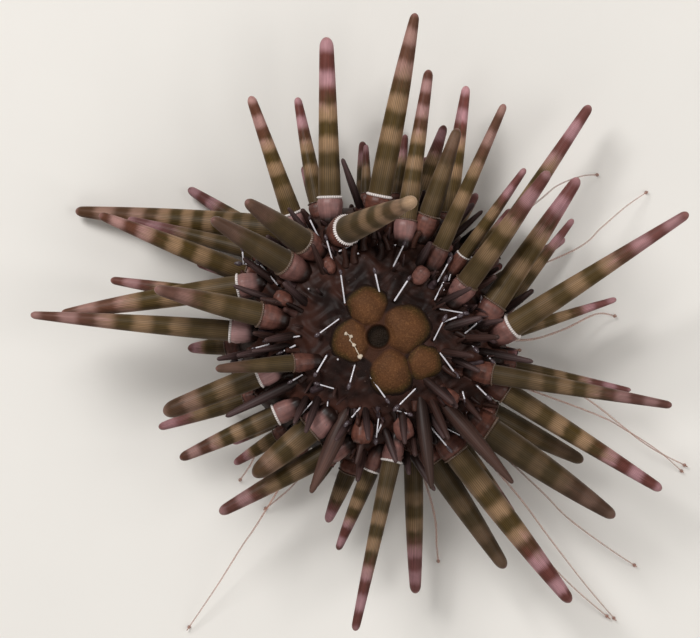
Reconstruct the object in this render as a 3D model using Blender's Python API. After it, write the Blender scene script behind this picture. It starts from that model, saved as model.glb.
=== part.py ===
# A small oval sea urchin with stout banded spines, standing on the tips of its lower spines.
# Metres, +Z up. The floor is z = 0 and the mouth is underneath.
import math
import random

import bmesh
import bpy
from mathutils import Matrix, Vector

mm = 0.001

# The shell's middle, from the middle of the footprint of the whole animal
middle = (1.4, -1.0)

# Body
bodyLong = 11.8  # half the length of the shell, along X
bodyWide = 11.3  # half its width, along Y
girth = 7.6  # height of its widest line above the floor
crown = 5.6  # rise from that line to the top
keel = 4.2  # drop from that line to the underside
topHole = 4.2  # radius of the opening at the top, before the disc's own cut
mouthHole = 4.4  # radius of the opening round the mouth
seam = 0.3  # gap between neighbouring pieces
widen = Matrix.Diagonal((1, bodyWide / bodyLong, 1, 1))  # makes a turned piece oval
bodySides = 60
bodySteps = 6

# The ten zones, as bearings of their borders, anticlockwise from +X
zoneBorders = (14.8, 42, 83, 100, 147, 175.5, 217, 249, 298.5, 329, 374.8)

# Disc round the anus, which lies off the middle, with five swollen plates: x, y of the middle, radius
discRadius = 5.2
discMiddle = (0.9, -0.6)
discTop = 12.75
discDepth = 2.4
discSides = 40
placeDisc = Matrix.Translation((*discMiddle, 0))
analPlates = ((-0.6, 2.3, 1.5), (3.1, 0.7, 1.75), (4.1, -2.7, 1.35), (1.5, -3.3, 1.75), (-2.3, -0.4, 1.5))
plateSides = 16
anus = (0.45, -0.2, 1.05)  # x, y, radius
anusDepth = 0.7
cutterTop = 9.0  # how far a cutter rises over the disc

# Mouth
peristomeDepth = 1.6
toothRing = 0.95  # how far the teeth's roots are from the middle
toothLean = 0.55
toothLength = 1.1
toothWidth = 0.75

# Spines
collar = 2.0  # from the shell to the milled ring
lowerCollar = 1.6
rootRadius = 0.5
rootDepth = 0.8
slenderWidth = 1.05  # spines up to this width have the fewest faces
ringBelow = 0.1  # the milled ring's reach before and after the collar's end, and where it has faded
ringAbove = 0.12
ringFade = 0.3
shaftStart = 0.94  # shaft's thickness at the ring and its loss towards the tip, as shares of the ring's
shaftLoss = 0.5
shaftPower = 1.8
gapApart = 0.4  # air between the spines of two zones
gapWithin = 0.03  # air between the spines of one zone
floorClear = 0.5
longestLine = 25  # of the lower spines
liftTries = (0, 3, -3, 6, -6, 9, -9, 12, -12, 16, -16, 20, -20, 25)

# Props that the animal stands on, one to a zone
propOut = 0.66  # share of the way out from the middle
propWidth = 1.5
propLift = -40
propCollar = 1.0
propSink = 0.45  # how far the tip is cut off by the floor

# Circles of spines on the underside: share of the way out, lift, share of the length above, width
underCircles = ((0.985, -14, 0.62, 1.7), (0.9, -24, 0.5, 1.5), (0.5, -62, 0.16, 0.9))
underSides = (0.26, 0.74)  # places across a zone
underLongest = 9.5
underTurn = 35  # most degrees that a spine below follows the one above
leadLength = 7.5  # shorter spines above have no followers
mouthCircle = 0.6  # circles nearer to the mouth have short upright spines
mouthSpine = 2.9

# Secondary spines that grow by chance
smallMost = 70
smallTries = 900
smallCollar = 0.5
smallUpper = 0.72  # share on the upper side
smallBorder = 0.75  # least distance of a root from a zone's border

# Large spines: milled ring x, y and tip x, y from the middle of the shell, width at the ring, lift in degrees
upperSpines = {
    "n1": (-7.15, 10.5, -10.75, 20.75, 1.9, 7),
    "n3": (-3.8, 11.9, -4.1, 26.0, 2.1, 0),
    "n5": (0.55, 12.05, 3.7, 28.0, 2.15, 4),
    "n7": (2.9, 9.9, 4.9, 23.1, 1.9, -4),
    "n8": (-2.3, 9.0, 3.5, 11.35, 2.6, 58),
    "n9": (4.9, 10.3, 7.4, 17.9, 2.0, 6),
    "n10": (5.9, 7.5, 11.4, 19.9, 1.6, 10),
    "n11": (7.9, 6.8, 13.2, 14.3, 1.3, 16),
    "n12": (8.2, 4.4, 15.2, 14.0, 2.1, 18),
    "n13": (10.6, 2.6, 18.0, 13.6, 2.3, 0),
    "n14": (12.2, 0.6, 27.3, 10.4, 2.25, 16),
    "e2": (10.5, -3.6, 26.0, -6.3, 1.85, 8),
    "e4": (11.7, -5.2, 25.4, -13.8, 2.05, -3),
    "e6": (10.2, -8.6, 21.3, -16.2, 2.7, 0),
    "e9": (7.3, -10.6, 17.4, -23.7, 2.35, -2),
    "s2": (1.6, -11.2, -1.6, -26.0, 1.75, 5),
    "s3": (-0.2, -12.0, -3.1, -19.1, 1.6, -8),
    "wa": (-4.0, -10.5, -13.5, -15.8, 2.1, -4),
    "wb": (-5.5, -8.4, -10.5, -12.5, 2.5, -20),
    "wd": (-8.5, -7.15, -16.95, -11.0, 1.85, -3),
    "wf": (-10.0, -3.7, -18.4, -7.0, 2.15, -6),
    "w1": (-7.0, -2.6, -13.7, -3.1, 1.6, 14),
    "w2": (-12.5, 0.2, -30.1, 1.6, 1.95, -2),
    "w3": (-11.8, 4.1, -27.5, 1.7, 2.1, -6),
    "w5": (-9.95, 1.65, -19.0, 3.85, 2.25, 16),
    "w9": (-6.2, 8.0, -11.0, 11.4, 2.4, 40),
    "w10": (-7.8, 6.2, -14.0, 9.9, 2.4, 30),
}
# The next circle down, whose rings are hidden: x, y and tip x, y give the line, then width, lift and
# the root's depth below the girth
lowerSpines = {
    "w7": (-9.8, 9.3, -26.6, 10.9, 2.6, -4, 0.7),
    "w6": (-11.6, 5.4, -24.1, 10.4, 1.95, 9, 0.7),
    "n2": (-4.75, 10.6, -6.7, 20.9, 1.6, -10, 0.3),
    "n6": (2.1, 11.3, 2.9, 17.6, 1.2, -14, 0.3),
    "n9b": (6.5, 9.8, 8.3, 21.9, 1.8, -8, 0.3),
    "n12b": (9.9, 6.2, 19.3, 20.2, 1.8, -8, 0.3),
    "n13b": (12.0, 2.6, 17.8, 10.1, 1.3, -14, 0.3),
    "n15": (13.3, 0.35, 21.6, 3.0, 1.2, -10, 0.3),
    "e3": (11.2, -2.6, 22.9, -5.1, 1.0, -10, 0.3),
    "e5": (10.1, -7.0, 18.7, -11.4, 2.3, -12, 0.3),
    "e10": (5.9, -12.1, 11.7, -20.8, 2.35, -4, 0.0),
    "s1": (3.6, -11.6, 3.8, -23.2, 1.8, -8, 2.0),
    "wc": (-7.7, -8.7, -12.3, -11.6, 1.4, -16, 0.3),
    "wg": (-9.1, -5.2, -19.0, -8.4, 1.6, -12, 0.3),
    "w4": (-11.7, 2.9, -23.3, 4.7, 1.6, -12, 0.3),
    "w7b": (-10.2, 7.1, -21.8, 10.1, 1.6, -16, 0.3),
    "w8": (-7.7, 7.3, -16.5, 12.9, 1.8, -6, 2.4),
    "n5b": (-0.6, 11.7, -0.6, 16.7, 1.0, -14, 0.5),
    "sw1": (-3.6, -10.9, -5.5, -14.0, 1.2, -14, 0.8),
}
# Slender spines among them: root x, y and tip x, y, width, lift
slenderSpines = {
    "n4": (-1.1, 11.0, -2.7, 15.3, 0.9, 20),
    "n13d": (11.0, 1.6, 14.1, 3.8, 1.0, 8),
    "e1": (9.4, -1.6, 14.0, -2.5, 0.9, 14),
    "e8": (6.3, -6.3, 12.2, -13.1, 0.9, 12),
    "e11": (4.2, -6.2, 5.1, -13.6, 0.9, 14),
    "we": (-6.9, -4.35, -12.9, -7.3, 1.1, 4),
}


def shellHeight(x, y, upper):
    """Height of the shell's surface over or under the point x, y."""
    out = min(math.hypot(x / bodyLong, y / bodyWide), 1.0)
    if upper:
        return girth + crown * math.sqrt(1 - out ** 2.4)
    return girth - keel * math.sqrt(1 - out ** 3)


def shellOut(point):
    """Roughly how far a point lies outside the shell."""
    rise = crown if point.z > girth else keel
    offset = point - Vector((0, 0, girth))
    scaled = Vector((offset.x / bodyLong, offset.y / bodyWide, offset.z / rise)).length
    return offset.length * (1 - 1 / scaled)


def aimed(plan, degrees):
    """A direction over a flat one, rising by the degrees given."""
    slope = math.radians(degrees)
    return Vector((plan[0] * math.cos(slope), plan[1] * math.cos(slope), math.sin(slope)))


def onBearing(degrees):
    return Vector((math.cos(math.radians(degrees)), math.sin(math.radians(degrees))))


def zoneOf(point):
    bearing = math.degrees(math.atan2(point.y, point.x)) % 360
    if bearing < zoneBorders[0]:
        bearing += 360
    return sum(bearing >= border for border in zoneBorders[1:])


class Spine:
    """A straight spine from its tubercle on the shell to its tip."""

    def __init__(self, name, root, direction, reach, width, collarLength, sides):
        self.name = name
        self.root = root
        self.direction = direction.normalized()
        self.length = reach
        self.width = width
        self.collar = collarLength
        self.sides = sides
        self.zone = zoneOf(root)

    def tip(self):
        return self.root + self.direction * self.length

    def radius(self, along):
        if along < self.collar:
            swell = along / self.collar
            return rootRadius + (self.width / 2 - rootRadius) * swell ** 0.7
        run = (along - self.collar) / (self.length - self.collar)
        return self.width / 2 * (shaftStart - shaftLoss * run ** shaftPower)

    def profile(self):
        """Radius and distance along the axis, from inside the shell to the tip."""
        half = self.width / 2
        rings = [(rootRadius * 0.9, -rootDepth)]
        if self.sides > 5:
            rings += [(self.radius(self.collar * 0.45), self.collar * 0.45)]
        rings += [(half, self.collar - ringBelow)]
        if self.sides > 6:
            rings += [(half, self.collar + ringAbove), (half * 0.88, self.collar + ringFade)]
        shaft = self.length - self.collar
        if self.sides > 5:
            runs = (0.5, 0.8, 0.97)
        elif self.width > slenderWidth:
            runs = (0.55, 0.95)
        else:
            runs = (0.9,)
        for run in runs:
            along = self.collar + shaft * run
            rings += [(self.radius(along), along)]
        return [(0, -rootDepth)] + rings + [(0, self.length)]


def clearance(first, second):
    """The least air between two spines."""
    least = 99.0
    start = second.root
    for step in range(13):
        along = first.length * step / 12
        point = first.root + first.direction * along
        other = min(max((point - start).dot(second.direction), 0), second.length)
        apart = (point - start - second.direction * other).length
        least = min(least, apart - first.radius(along) - second.radius(other))
    return least


def margin(spine, placed):
    """How much air a spine has beyond what it needs. Below zero it touches something."""
    least = (spine.tip().z - spine.width / 4) - floorClear
    for step in (1, 2, 3, 4):
        along = spine.collar * (0.7 + 0.5 * step)
        least = min(least, shellOut(spine.root + spine.direction * along) - spine.radius(along))
    for other in placed:
        need = gapWithin if other.zone == spine.zone else gapApart
        if (other.root - spine.root).length > other.length + spine.length:
            continue
        least = min(least, clearance(spine, other) - need, clearance(other, spine) - need)
    return least


def firstClear(make, lift, placed, must):
    """The spine at the lift nearest the one asked for that is clear of those already set."""
    best = None
    for nudge in liftTries:
        spine = make(lift + nudge)
        room = margin(spine, placed)
        if room >= 0:
            return spine
        if best is None or room > best[0]:
            best = (room, spine)
    return best[1] if must else None


def upperSpine(name, values):
    ringX, ringY, tipX, tipY, width, lift = values
    flat = Vector((tipX - ringX, tipY - ringY))
    plan = flat.normalized()

    def make(angle):
        direction = aimed(plan, angle)
        x = ringX - direction.x * collar
        y = ringY - direction.y * collar
        root = Vector((x, y, shellHeight(x, y, True)))
        reach = collar + flat.length / math.cos(math.radians(angle))
        return Spine(name, root, direction, reach, width, collar, 7)

    return make, lift


def lowerSpine(name, values):
    """A spine on the line given, rooted where that line crosses the shell's outline."""
    lineX, lineY, tipX, tipY, width, lift, depth = values
    plan = Vector((tipX - lineX, tipY - lineY)).normalized()
    inset = 0.97 - 0.03 * depth
    back = 0
    while back < longestLine:
        x = tipX - plan.x * back
        y = tipY - plan.y * back
        if math.hypot(x / bodyLong, y / bodyWide) <= inset:
            break
        back += 0.05

    def make(angle):
        root = Vector((x, y, girth - depth))
        reach = back / math.cos(math.radians(angle))
        return Spine(name, root, aimed(plan, angle), reach, width, lowerCollar, 6)

    return make, lift


def ruledSpine(name, bearing, out, plan, reach, width, lift, sides):
    """A spine of the underside, rooted at a share of the way out on a bearing."""
    x = bodyLong * out * onBearing(bearing).x
    y = bodyWide * out * onBearing(bearing).y
    root = Vector((x, y, shellHeight(x, y, False)))
    ownCollar = min(collar * 0.7, reach * 0.3)

    def make(angle):
        return Spine(name, root, aimed(onBearing(plan), angle), reach, width, ownCollar, sides)

    return make, lift


def propSpine(number, bearing):
    """A short spine of the underside that stands on the floor."""
    plan = onBearing(bearing)
    x = bodyLong * propOut * plan.x
    y = bodyWide * propOut * plan.y
    root = Vector((x, y, shellHeight(x, y, False)))
    direction = aimed(plan, propLift)
    reach = (root.z + propSink) / -direction.z
    return Spine(f"prop{number}", root, direction, reach, propWidth, propCollar, 6)


def slenderSpine(name, values):
    rootX, rootY, tipX, tipY, width, lift = values
    flat = Vector((tipX - rootX, tipY - rootY))
    plan = flat.normalized()
    root = Vector((rootX, rootY, shellHeight(rootX, rootY, True)))

    def make(angle):
        reach = flat.length / math.cos(math.radians(angle))
        return Spine(name, root, aimed(plan, angle), reach, width, smallCollar, 5)

    return make, lift


def underSpines(draw, placed):
    """Adds the circles of the underside, whose spines follow the bearing of those above."""
    zones = list(zip(zoneBorders, zoneBorders[1:]))
    leads = [spine for spine in placed if spine.length > leadLength]
    for out, lift, share, width in underCircles:
        for start, end in zones:
            for side in underSides:
                bearing = start + (end - start) * side + draw.uniform(-1.5, 1.5)
                here = onBearing(bearing)
                above = max(leads, key=lambda spine: here.dot(spine.tip().to_2d().normalized()))
                plan = math.degrees(math.atan2(above.direction.y, above.direction.x))
                if abs((plan - bearing + 180) % 360 - 180) > underTurn or out < mouthCircle:
                    plan = bearing
                reach = min(above.length * share * draw.uniform(0.9, 1.1), underLongest)
                if out < mouthCircle:
                    reach = mouthSpine
                make, lean = ruledSpine("under", bearing, out, plan, reach, width, lift, 5)
                found = firstClear(make, lean, placed, False)
                if found:
                    placed.append(found)


def smallSpines(draw, placed):
    """Short secondary spines between the large ones."""
    found = []
    for tries in range(smallTries):
        bearing = draw.uniform(0, 360)
        upper = draw.random() < smallUpper
        out = math.sqrt(draw.uniform(0.27, 0.98)) if upper else math.sqrt(draw.uniform(0.25, 0.8))
        x = bodyLong * out * onBearing(bearing).x
        y = bodyWide * out * onBearing(bearing).y
        root = Vector((x, y, shellHeight(x, y, upper)))
        border = min(abs((bearing - edge + 180) % 360 - 180) for edge in zoneBorders)
        if math.radians(border) * math.hypot(x, y) < smallBorder:
            continue
        lift = draw.uniform(18, 50) if upper else draw.uniform(-50, -30)
        direction = aimed(onBearing(bearing + draw.uniform(-20, 20)), lift)
        reach = draw.uniform(2.6, 4.6) if upper else draw.uniform(1.8, 2.6)
        spine = Spine("small", root, direction, reach, draw.uniform(0.75, 1.0), smallCollar, 5)
        if margin(spine, placed + found) < -0.02 or len(found) >= smallMost:
            continue
        found.append(spine)
    return found


def allSpines():
    placed = []
    for number, (start, end) in enumerate(zip(zoneBorders, zoneBorders[1:])):
        placed.append(propSpine(number, (start + end) / 2))
    for name, values in upperSpines.items():
        make, lift = upperSpine(name, values)
        placed.append(firstClear(make, lift, placed, True))
    for name, values in lowerSpines.items():
        make, lift = lowerSpine(name, values)
        placed.append(firstClear(make, lift, placed, True))
    draw = random.Random(11)
    underSpines(draw, placed)
    for name, values in slenderSpines.items():
        make, lift = slenderSpine(name, values)
        found = firstClear(make, lift, placed, False)
        if found:
            placed.append(found)
    return placed + smallSpines(draw, placed)


def newObject(name, mesh, collection):
    item = bpy.data.objects.new(name, mesh)
    collection.objects.link(item)
    return item


def turned(profile, steps, matrix):
    """A mesh turned from points of radius and height round Z, then placed."""
    form = bmesh.new()
    points = [form.verts.new((radius, 0, height)) for radius, height in profile]
    edges = [form.edges.new(pair) for pair in zip(points, points[1:])]
    bmesh.ops.spin(
        form,
        geom=points + edges,
        cent=(0, 0, 0),
        axis=(0, 0, 1),
        angle=2 * math.pi,
        steps=steps,
        use_merge=True,
        use_duplicate=False,
    )
    bmesh.ops.remove_doubles(form, verts=form.verts[:], dist=0.0005)
    bmesh.ops.recalc_face_normals(form, faces=form.faces[:])
    bmesh.ops.transform(form, matrix=matrix, verts=form.verts[:])
    return form


def spineMesh(spine):
    turn = spine.direction.to_track_quat("Z", "Y").to_matrix().to_4x4()
    form = turned(spine.profile(), spine.sides, Matrix.Translation(spine.root) @ turn)
    mesh = bpy.data.meshes.new(spine.name)
    bmesh.ops.scale(form, vec=(mm, mm, mm), verts=form.verts[:])
    form.to_mesh(mesh)
    form.free()
    return mesh


def shellProfile():
    """The shell's cut outline, from the top opening over the girth to the mouth opening and back."""
    points = []
    for step in range(bodySteps + 1):
        radius = topHole + (bodyLong - topHole) * math.sin(math.pi / 2 * step / bodySteps)
        points.append((radius, shellHeight(radius, 0, True)))
    for step in range(1, bodySteps + 1):
        radius = mouthHole + (bodyLong - mouthHole) * math.cos(math.pi / 2 * step / bodySteps)
        points.append((radius, shellHeight(radius, 0, False)))
    return points + [points[0]]


def cutPlane(form, bearing, keepLeft):
    """Cuts the form on a bearing from the middle, half a seam to one side, and fills the cut."""
    turn = math.radians(bearing)
    normal = Vector((-math.sin(turn), math.cos(turn), 0))
    if not keepLeft:
        normal = -normal
    cut = bmesh.ops.bisect_plane(
        form,
        geom=form.verts[:] + form.edges[:] + form.faces[:],
        plane_co=normal * seam / 2,
        plane_no=normal,
        clear_inner=True,
    )
    edges = [item for item in cut["geom_cut"] if isinstance(item, bmesh.types.BMEdge)]
    bmesh.ops.edgenet_fill(form, edges=edges)


def zoneMesh(start, end):
    """The shell's wedge between two bearings."""
    form = turned(shellProfile(), bodySides, widen)
    cutPlane(form, start, True)
    cutPlane(form, end, False)
    bmesh.ops.recalc_face_normals(form, faces=form.faces[:])
    bmesh.ops.scale(form, vec=(mm, mm, mm), verts=form.verts[:])
    mesh = bpy.data.meshes.new("zone")
    form.to_mesh(mesh)
    form.free()
    return mesh


def keepLargest(form):
    """Leaves only the largest connected surface."""
    left = set(form.faces)
    groups = []
    while left:
        stack = [left.pop()]
        group = set(stack)
        while stack:
            face = stack.pop()
            for edge in face.edges:
                for other in edge.link_faces:
                    if other in left:
                        left.discard(other)
                        group.add(other)
                        stack.append(other)
        groups.append(group)
    groups.sort(key=len)
    for group in groups[:-1]:
        bmesh.ops.delete(form, geom=list(group), context="FACES")


def trimAtFloor(form):
    if min(vertex.co.z for vertex in form.verts) >= 0:
        return
    cut = bmesh.ops.bisect_plane(
        form,
        geom=form.verts[:] + form.edges[:] + form.faces[:],
        plane_co=(0, 0, 0),
        plane_no=(0, 0, 1),
        clear_inner=True,
    )
    edges = [item for item in cut["geom_cut"] if isinstance(item, bmesh.types.BMEdge)]
    bmesh.ops.edgenet_fill(form, edges=edges)


def joined(name, base, additions, parts, colour, cutter=None):
    """One closed body from a base mesh and the meshes that grow from it, less a cutter."""
    bench = bpy.data.collections.new(name + "_pieces")
    bpy.context.scene.collection.children.link(bench)
    for mesh in additions:
        newObject(mesh.name, mesh, bench)
    item = newObject(name, base, parts)
    union = item.modifiers.new("union", "BOOLEAN")
    union.operation = "UNION"
    union.operand_type = "COLLECTION"
    union.collection = bench
    union.solver = "EXACT"
    if cutter:
        trim = item.modifiers.new("trim", "BOOLEAN")
        trim.operation = "DIFFERENCE"
        trim.object = cutter
        trim.solver = "EXACT"
    graph = bpy.context.evaluated_depsgraph_get()
    whole = bpy.data.meshes.new_from_object(item.evaluated_get(graph))
    item.modifiers.clear()
    for piece in list(bench.objects):
        bpy.data.objects.remove(piece)
    bpy.data.collections.remove(bench)
    form = bmesh.new()
    form.from_mesh(whole)
    keepLargest(form)
    trimAtFloor(form)
    bmesh.ops.triangulate(form, faces=form.faces[:])
    form.to_mesh(whole)
    form.free()
    item.data = whole
    item.data.materials.clear()
    item.data.materials.append(colour)
    return item


def paint(name, colour, roughness):
    material = bpy.data.materials.new(name)
    material.use_nodes = True
    shader = material.node_tree.nodes["Principled BSDF"]
    shader.inputs["Base Color"].default_value = (*colour, 1)
    shader.inputs["Roughness"].default_value = roughness
    return material


def turnedMesh(name, profile, steps, matrix):
    form = turned(profile, steps, matrix)
    bmesh.ops.scale(form, vec=(mm, mm, mm), verts=form.verts[:])
    mesh = bpy.data.meshes.new(name)
    form.to_mesh(mesh)
    form.free()
    return mesh


def cutterOf(name, profile, steps, matrix, cutters):
    cutter = newObject(name, turnedMesh(name, profile, steps, matrix), cutters)
    cutter.hide_render = True
    cutter.display_type = "WIRE"
    return cutter


def discCutter(cutters):
    """The room for the disc in the top of the shell."""
    edge = discRadius + seam
    low = discTop - discDepth - seam
    high = discTop + cutterTop
    profile = [(0, low), (edge, low), (edge, high), (0, high)]
    return cutterOf("disc_room", profile, discSides, placeDisc, cutters)


def makeDisc(parts, cutters, colour):
    """The disc on the top of the shell, with five swollen plates round a pit, the anus."""
    profile = [(0, discTop - discDepth), (discRadius, discTop - discDepth), (discRadius, discTop - 0.5)]
    profile += [(discRadius * 0.75, discTop), (0, discTop + 0.1)]
    base = turnedMesh("apical_disc", profile, discSides, placeDisc)
    domes = []
    for x, y, radius in analPlates:
        profile = [(0, -0.4), (radius * 0.85, -0.4), (radius, radius * 0.3), (radius * 0.8, radius * 0.62)]
        profile += [(radius * 0.4, radius * 0.84), (0, radius * 0.9)]
        domes.append(turnedMesh("dome", profile, plateSides, Matrix.Translation((x, y, discTop))))
    x, y, radius = anus
    profile = [(0, -anusDepth), (radius * 0.7, 0.1 - anusDepth), (radius, 1)]
    profile += [(radius, cutterTop), (0, cutterTop)]
    pit = cutterOf("pit", profile, plateSides, Matrix.Translation((x, y, discTop)), cutters)
    joined("apical_disc", base, domes, parts, colour, pit)


def makePeristome(parts, colour):
    """The skin round the mouth with the tips of five teeth."""
    edge = mouthHole - seam
    height = shellHeight(mouthHole, 0, False)
    top = height + peristomeDepth
    profile = [(0, top), (edge, top), (edge, height + 0.2), (edge * 0.5, height - 0.3)]
    profile += [(edge * 0.3, height - 0.1), (0, height)]
    mesh = turnedMesh("peristome", profile, bodySides // 2, widen)
    teeth = []
    for number in range(5):
        turn = math.radians(72 * number + 18)
        root = Vector((math.cos(turn) * toothRing, math.sin(turn) * toothRing, height + 0.1))
        aim = Vector((-math.cos(turn) * toothLean, -math.sin(turn) * toothLean, -1))
        teeth.append(spineMesh(Spine("tooth", root, aim, toothLength, toothWidth, 0.2, 6)))
    joined("peristome", mesh, teeth, parts, colour)


def main():
    for item in list(bpy.data.objects):
        bpy.data.objects.remove(item)
    parts = bpy.data.collections.new("sea_urchin")
    cutters = bpy.data.collections.new("cutters")
    bpy.context.scene.collection.children.link(parts)
    bpy.context.scene.collection.children.link(cutters)
    spineColour = paint("spine", (0.12, 0.09, 0.06), 0.5)
    skinColour = paint("skin", (0.02, 0.014, 0.014), 0.4)
    lobeColour = paint("lobe", (0.16, 0.08, 0.03), 0.45)
    spines = allSpines()
    room = discCutter(cutters)
    for number, (start, end) in enumerate(zip(zoneBorders, zoneBorders[1:])):
        kind = "ambulacrum" if number % 2 == 0 else "interambulacrum"
        name = f"{kind}_{number // 2 + 1}"
        own = [spineMesh(spine) for spine in spines if spine.zone == number]
        joined(name, zoneMesh(start, end), own, parts, spineColour, room)
    makeDisc(parts, cutters, lobeColour)
    makePeristome(parts, skinColour)
    for item in parts.objects:
        item.location = (middle[0] * mm, middle[1] * mm, 0)
    print(len(spines), "spines")


if __name__ == "__main__":
    main()
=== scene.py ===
# Looks of a small oval sea urchin seen from above: skin, banded spines, milled rings and tube feet.
# Lengths are millimetres from the shell's middle, heights are above the floor, angles are degrees.
import math
import random

import bpy
import numpy as np
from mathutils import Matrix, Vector


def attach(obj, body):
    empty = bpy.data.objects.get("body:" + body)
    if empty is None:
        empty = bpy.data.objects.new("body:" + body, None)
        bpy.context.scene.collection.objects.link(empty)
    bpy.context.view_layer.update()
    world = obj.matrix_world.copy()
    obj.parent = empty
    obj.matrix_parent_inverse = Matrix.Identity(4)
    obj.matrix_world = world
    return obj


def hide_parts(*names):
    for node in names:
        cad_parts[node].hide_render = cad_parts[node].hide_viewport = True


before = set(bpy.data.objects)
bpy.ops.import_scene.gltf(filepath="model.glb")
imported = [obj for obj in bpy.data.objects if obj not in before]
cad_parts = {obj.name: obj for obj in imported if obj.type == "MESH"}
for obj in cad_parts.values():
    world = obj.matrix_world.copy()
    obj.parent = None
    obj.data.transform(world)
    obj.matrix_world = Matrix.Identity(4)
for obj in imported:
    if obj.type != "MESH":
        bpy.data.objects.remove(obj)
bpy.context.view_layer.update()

mm = 0.001
middle = Vector((1.4, -1.0, 0))  # the shell's middle in the frame

shell = {
    "halfLong": 11.8,
    "halfWide": 11.3,
    "girth": 7.6,  # height of the widest line
    "crown": 5.6,  # rise above it
    "keel": 4.2,  # drop below it
    "crownPower": 2.4,
    "keelPower": 3,
    "mouth": 4.3,
    "zones": (14.8, 42, 83, 100, 147, 175.5, 217, 249, 298.5, 329, 374.8),  # bearings of their borders
}

photo = {
    "pixel": 0.088,  # millimetres to a pixel at the large spines
    "middleX": 373,  # the shell's middle in the photo
    "middleY": 333,
    "width": 700,
    "height": 638,
}


def fromPhoto(x, y):
    return Vector(((x - photo["middleX"]) * photo["pixel"], (photo["middleY"] - y) * photo["pixel"]))


def outAt(x, y):
    # share of the way out from the middle to the shell's edge
    return math.hypot(x / shell["halfLong"], y / shell["halfWide"])


def riseAt(out, upper):
    if upper:
        return shell["girth"] + shell["crown"] * np.sqrt(1 - out ** shell["crownPower"])
    return shell["girth"] - shell["keel"] * np.sqrt(1 - out ** shell["keelPower"])


def surface(x, y, lift=0.0, upper=True):
    # the place on the shell at x, y, raised by a lift
    return Vector((x, y, riseAt(min(outAt(x, y), 1.0), upper) + lift))


def smooth(low, high, value):
    share = np.clip((value - low) / (high - low), 0, 1)
    return share * share * (3 - 2 * share)


# Spine layout: the same rule as the solids, each spine tilted until it is clear of those already set

spineRule = {
    "collar": 2.0,
    "root": 0.5,
    "gapApart": 0.4,
    "gapWithin": 0.03,
    "floorClear": 0.5,
    "longestLine": 25,
    "lineStep": 0.05,
    "smallCollar": 0.5,
    "liftTries": (0, 3, -3, 6, -6, 9, -9, 12, -12, 16, -16, 20, -20, 25),
    "prop": {"out": 0.66, "lift": -40, "width": 1.5, "collar": 1.0, "sink": 0.45},
    # underside: share of the way out, lift, share of the length above, width
    "circles": ((0.985, -14, 0.62, 1.7), (0.9, -24, 0.5, 1.5), (0.5, -62, 0.16, 0.9)),
    "zoneSides": (0.26, 0.74),
    "leadLength": 7.5,  # of the spines above that an underside spine follows
    "mostTurn": 35,
    "longestUnder": 9.5,
    "nearMouth": 0.6,  # closer in than this share of the way out the spines are short
    "shortUnder": 2.9,
}

smallRule = {
    "tries": 900,
    "most": 70,
    "upperShare": 0.72,
    "room": (0.27, 0.98),  # squares of the share of the way out, above and below
    "roomBelow": (0.25, 0.8),
    "fromBorder": 0.75,
    "lift": (18, 50),
    "liftBelow": (-50, -30),
    "turn": 20,
    "reach": (2.6, 4.6),
    "reachBelow": (1.8, 2.6),
    "width": (0.75, 1.0),
    "overlap": -0.02,
}

# milled ring x, y, tip x, y, width at the ring, lift in degrees
upperSpines = {
    "n1": (-7.15, 10.5, -10.75, 20.75, 1.9, 7),
    "n3": (-3.8, 11.9, -4.1, 26.0, 2.1, 0),
    "n5": (0.55, 12.05, 3.7, 28.0, 2.15, 4),
    "n7": (2.9, 9.9, 4.9, 23.1, 1.9, -4),
    "n8": (-2.3, 9.0, 3.5, 11.35, 2.6, 58),
    "n9": (4.9, 10.3, 7.4, 17.9, 2.0, 6),
    "n10": (5.9, 7.5, 11.4, 19.9, 1.6, 10),
    "n11": (7.9, 6.8, 13.2, 14.3, 1.3, 16),
    "n12": (8.2, 4.4, 15.2, 14.0, 2.1, 18),
    "n13": (10.6, 2.6, 18.0, 13.6, 2.3, 0),
    "n14": (12.2, 0.6, 27.3, 10.4, 2.25, 16),
    "e2": (10.5, -3.6, 26.0, -6.3, 1.85, 8),
    "e4": (11.7, -5.2, 25.4, -13.8, 2.05, -3),
    "e6": (10.2, -8.6, 21.3, -16.2, 2.7, 0),
    "e9": (7.3, -10.6, 17.4, -23.7, 2.35, -2),
    "s2": (1.6, -11.2, -1.6, -26.0, 1.75, 5),
    "s3": (-0.2, -12.0, -3.1, -19.1, 1.6, -8),
    "wa": (-4.0, -10.5, -13.5, -15.8, 2.1, -4),
    "wb": (-5.5, -8.4, -10.5, -12.5, 2.5, -20),
    "wd": (-8.5, -7.15, -16.95, -11.0, 1.85, -3),
    "wf": (-10.0, -3.7, -18.4, -7.0, 2.15, -6),
    "w1": (-7.0, -2.6, -13.7, -3.1, 1.6, 14),
    "w2": (-12.5, 0.2, -30.1, 1.6, 1.95, -2),
    "w3": (-11.8, 4.1, -27.5, 1.7, 2.1, -6),
    "w5": (-9.95, 1.65, -19.0, 3.85, 2.25, 16),
    "w9": (-6.2, 8.0, -11.0, 11.4, 2.4, 40),
    "w10": (-7.8, 6.2, -14.0, 9.9, 2.4, 30),
}
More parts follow.
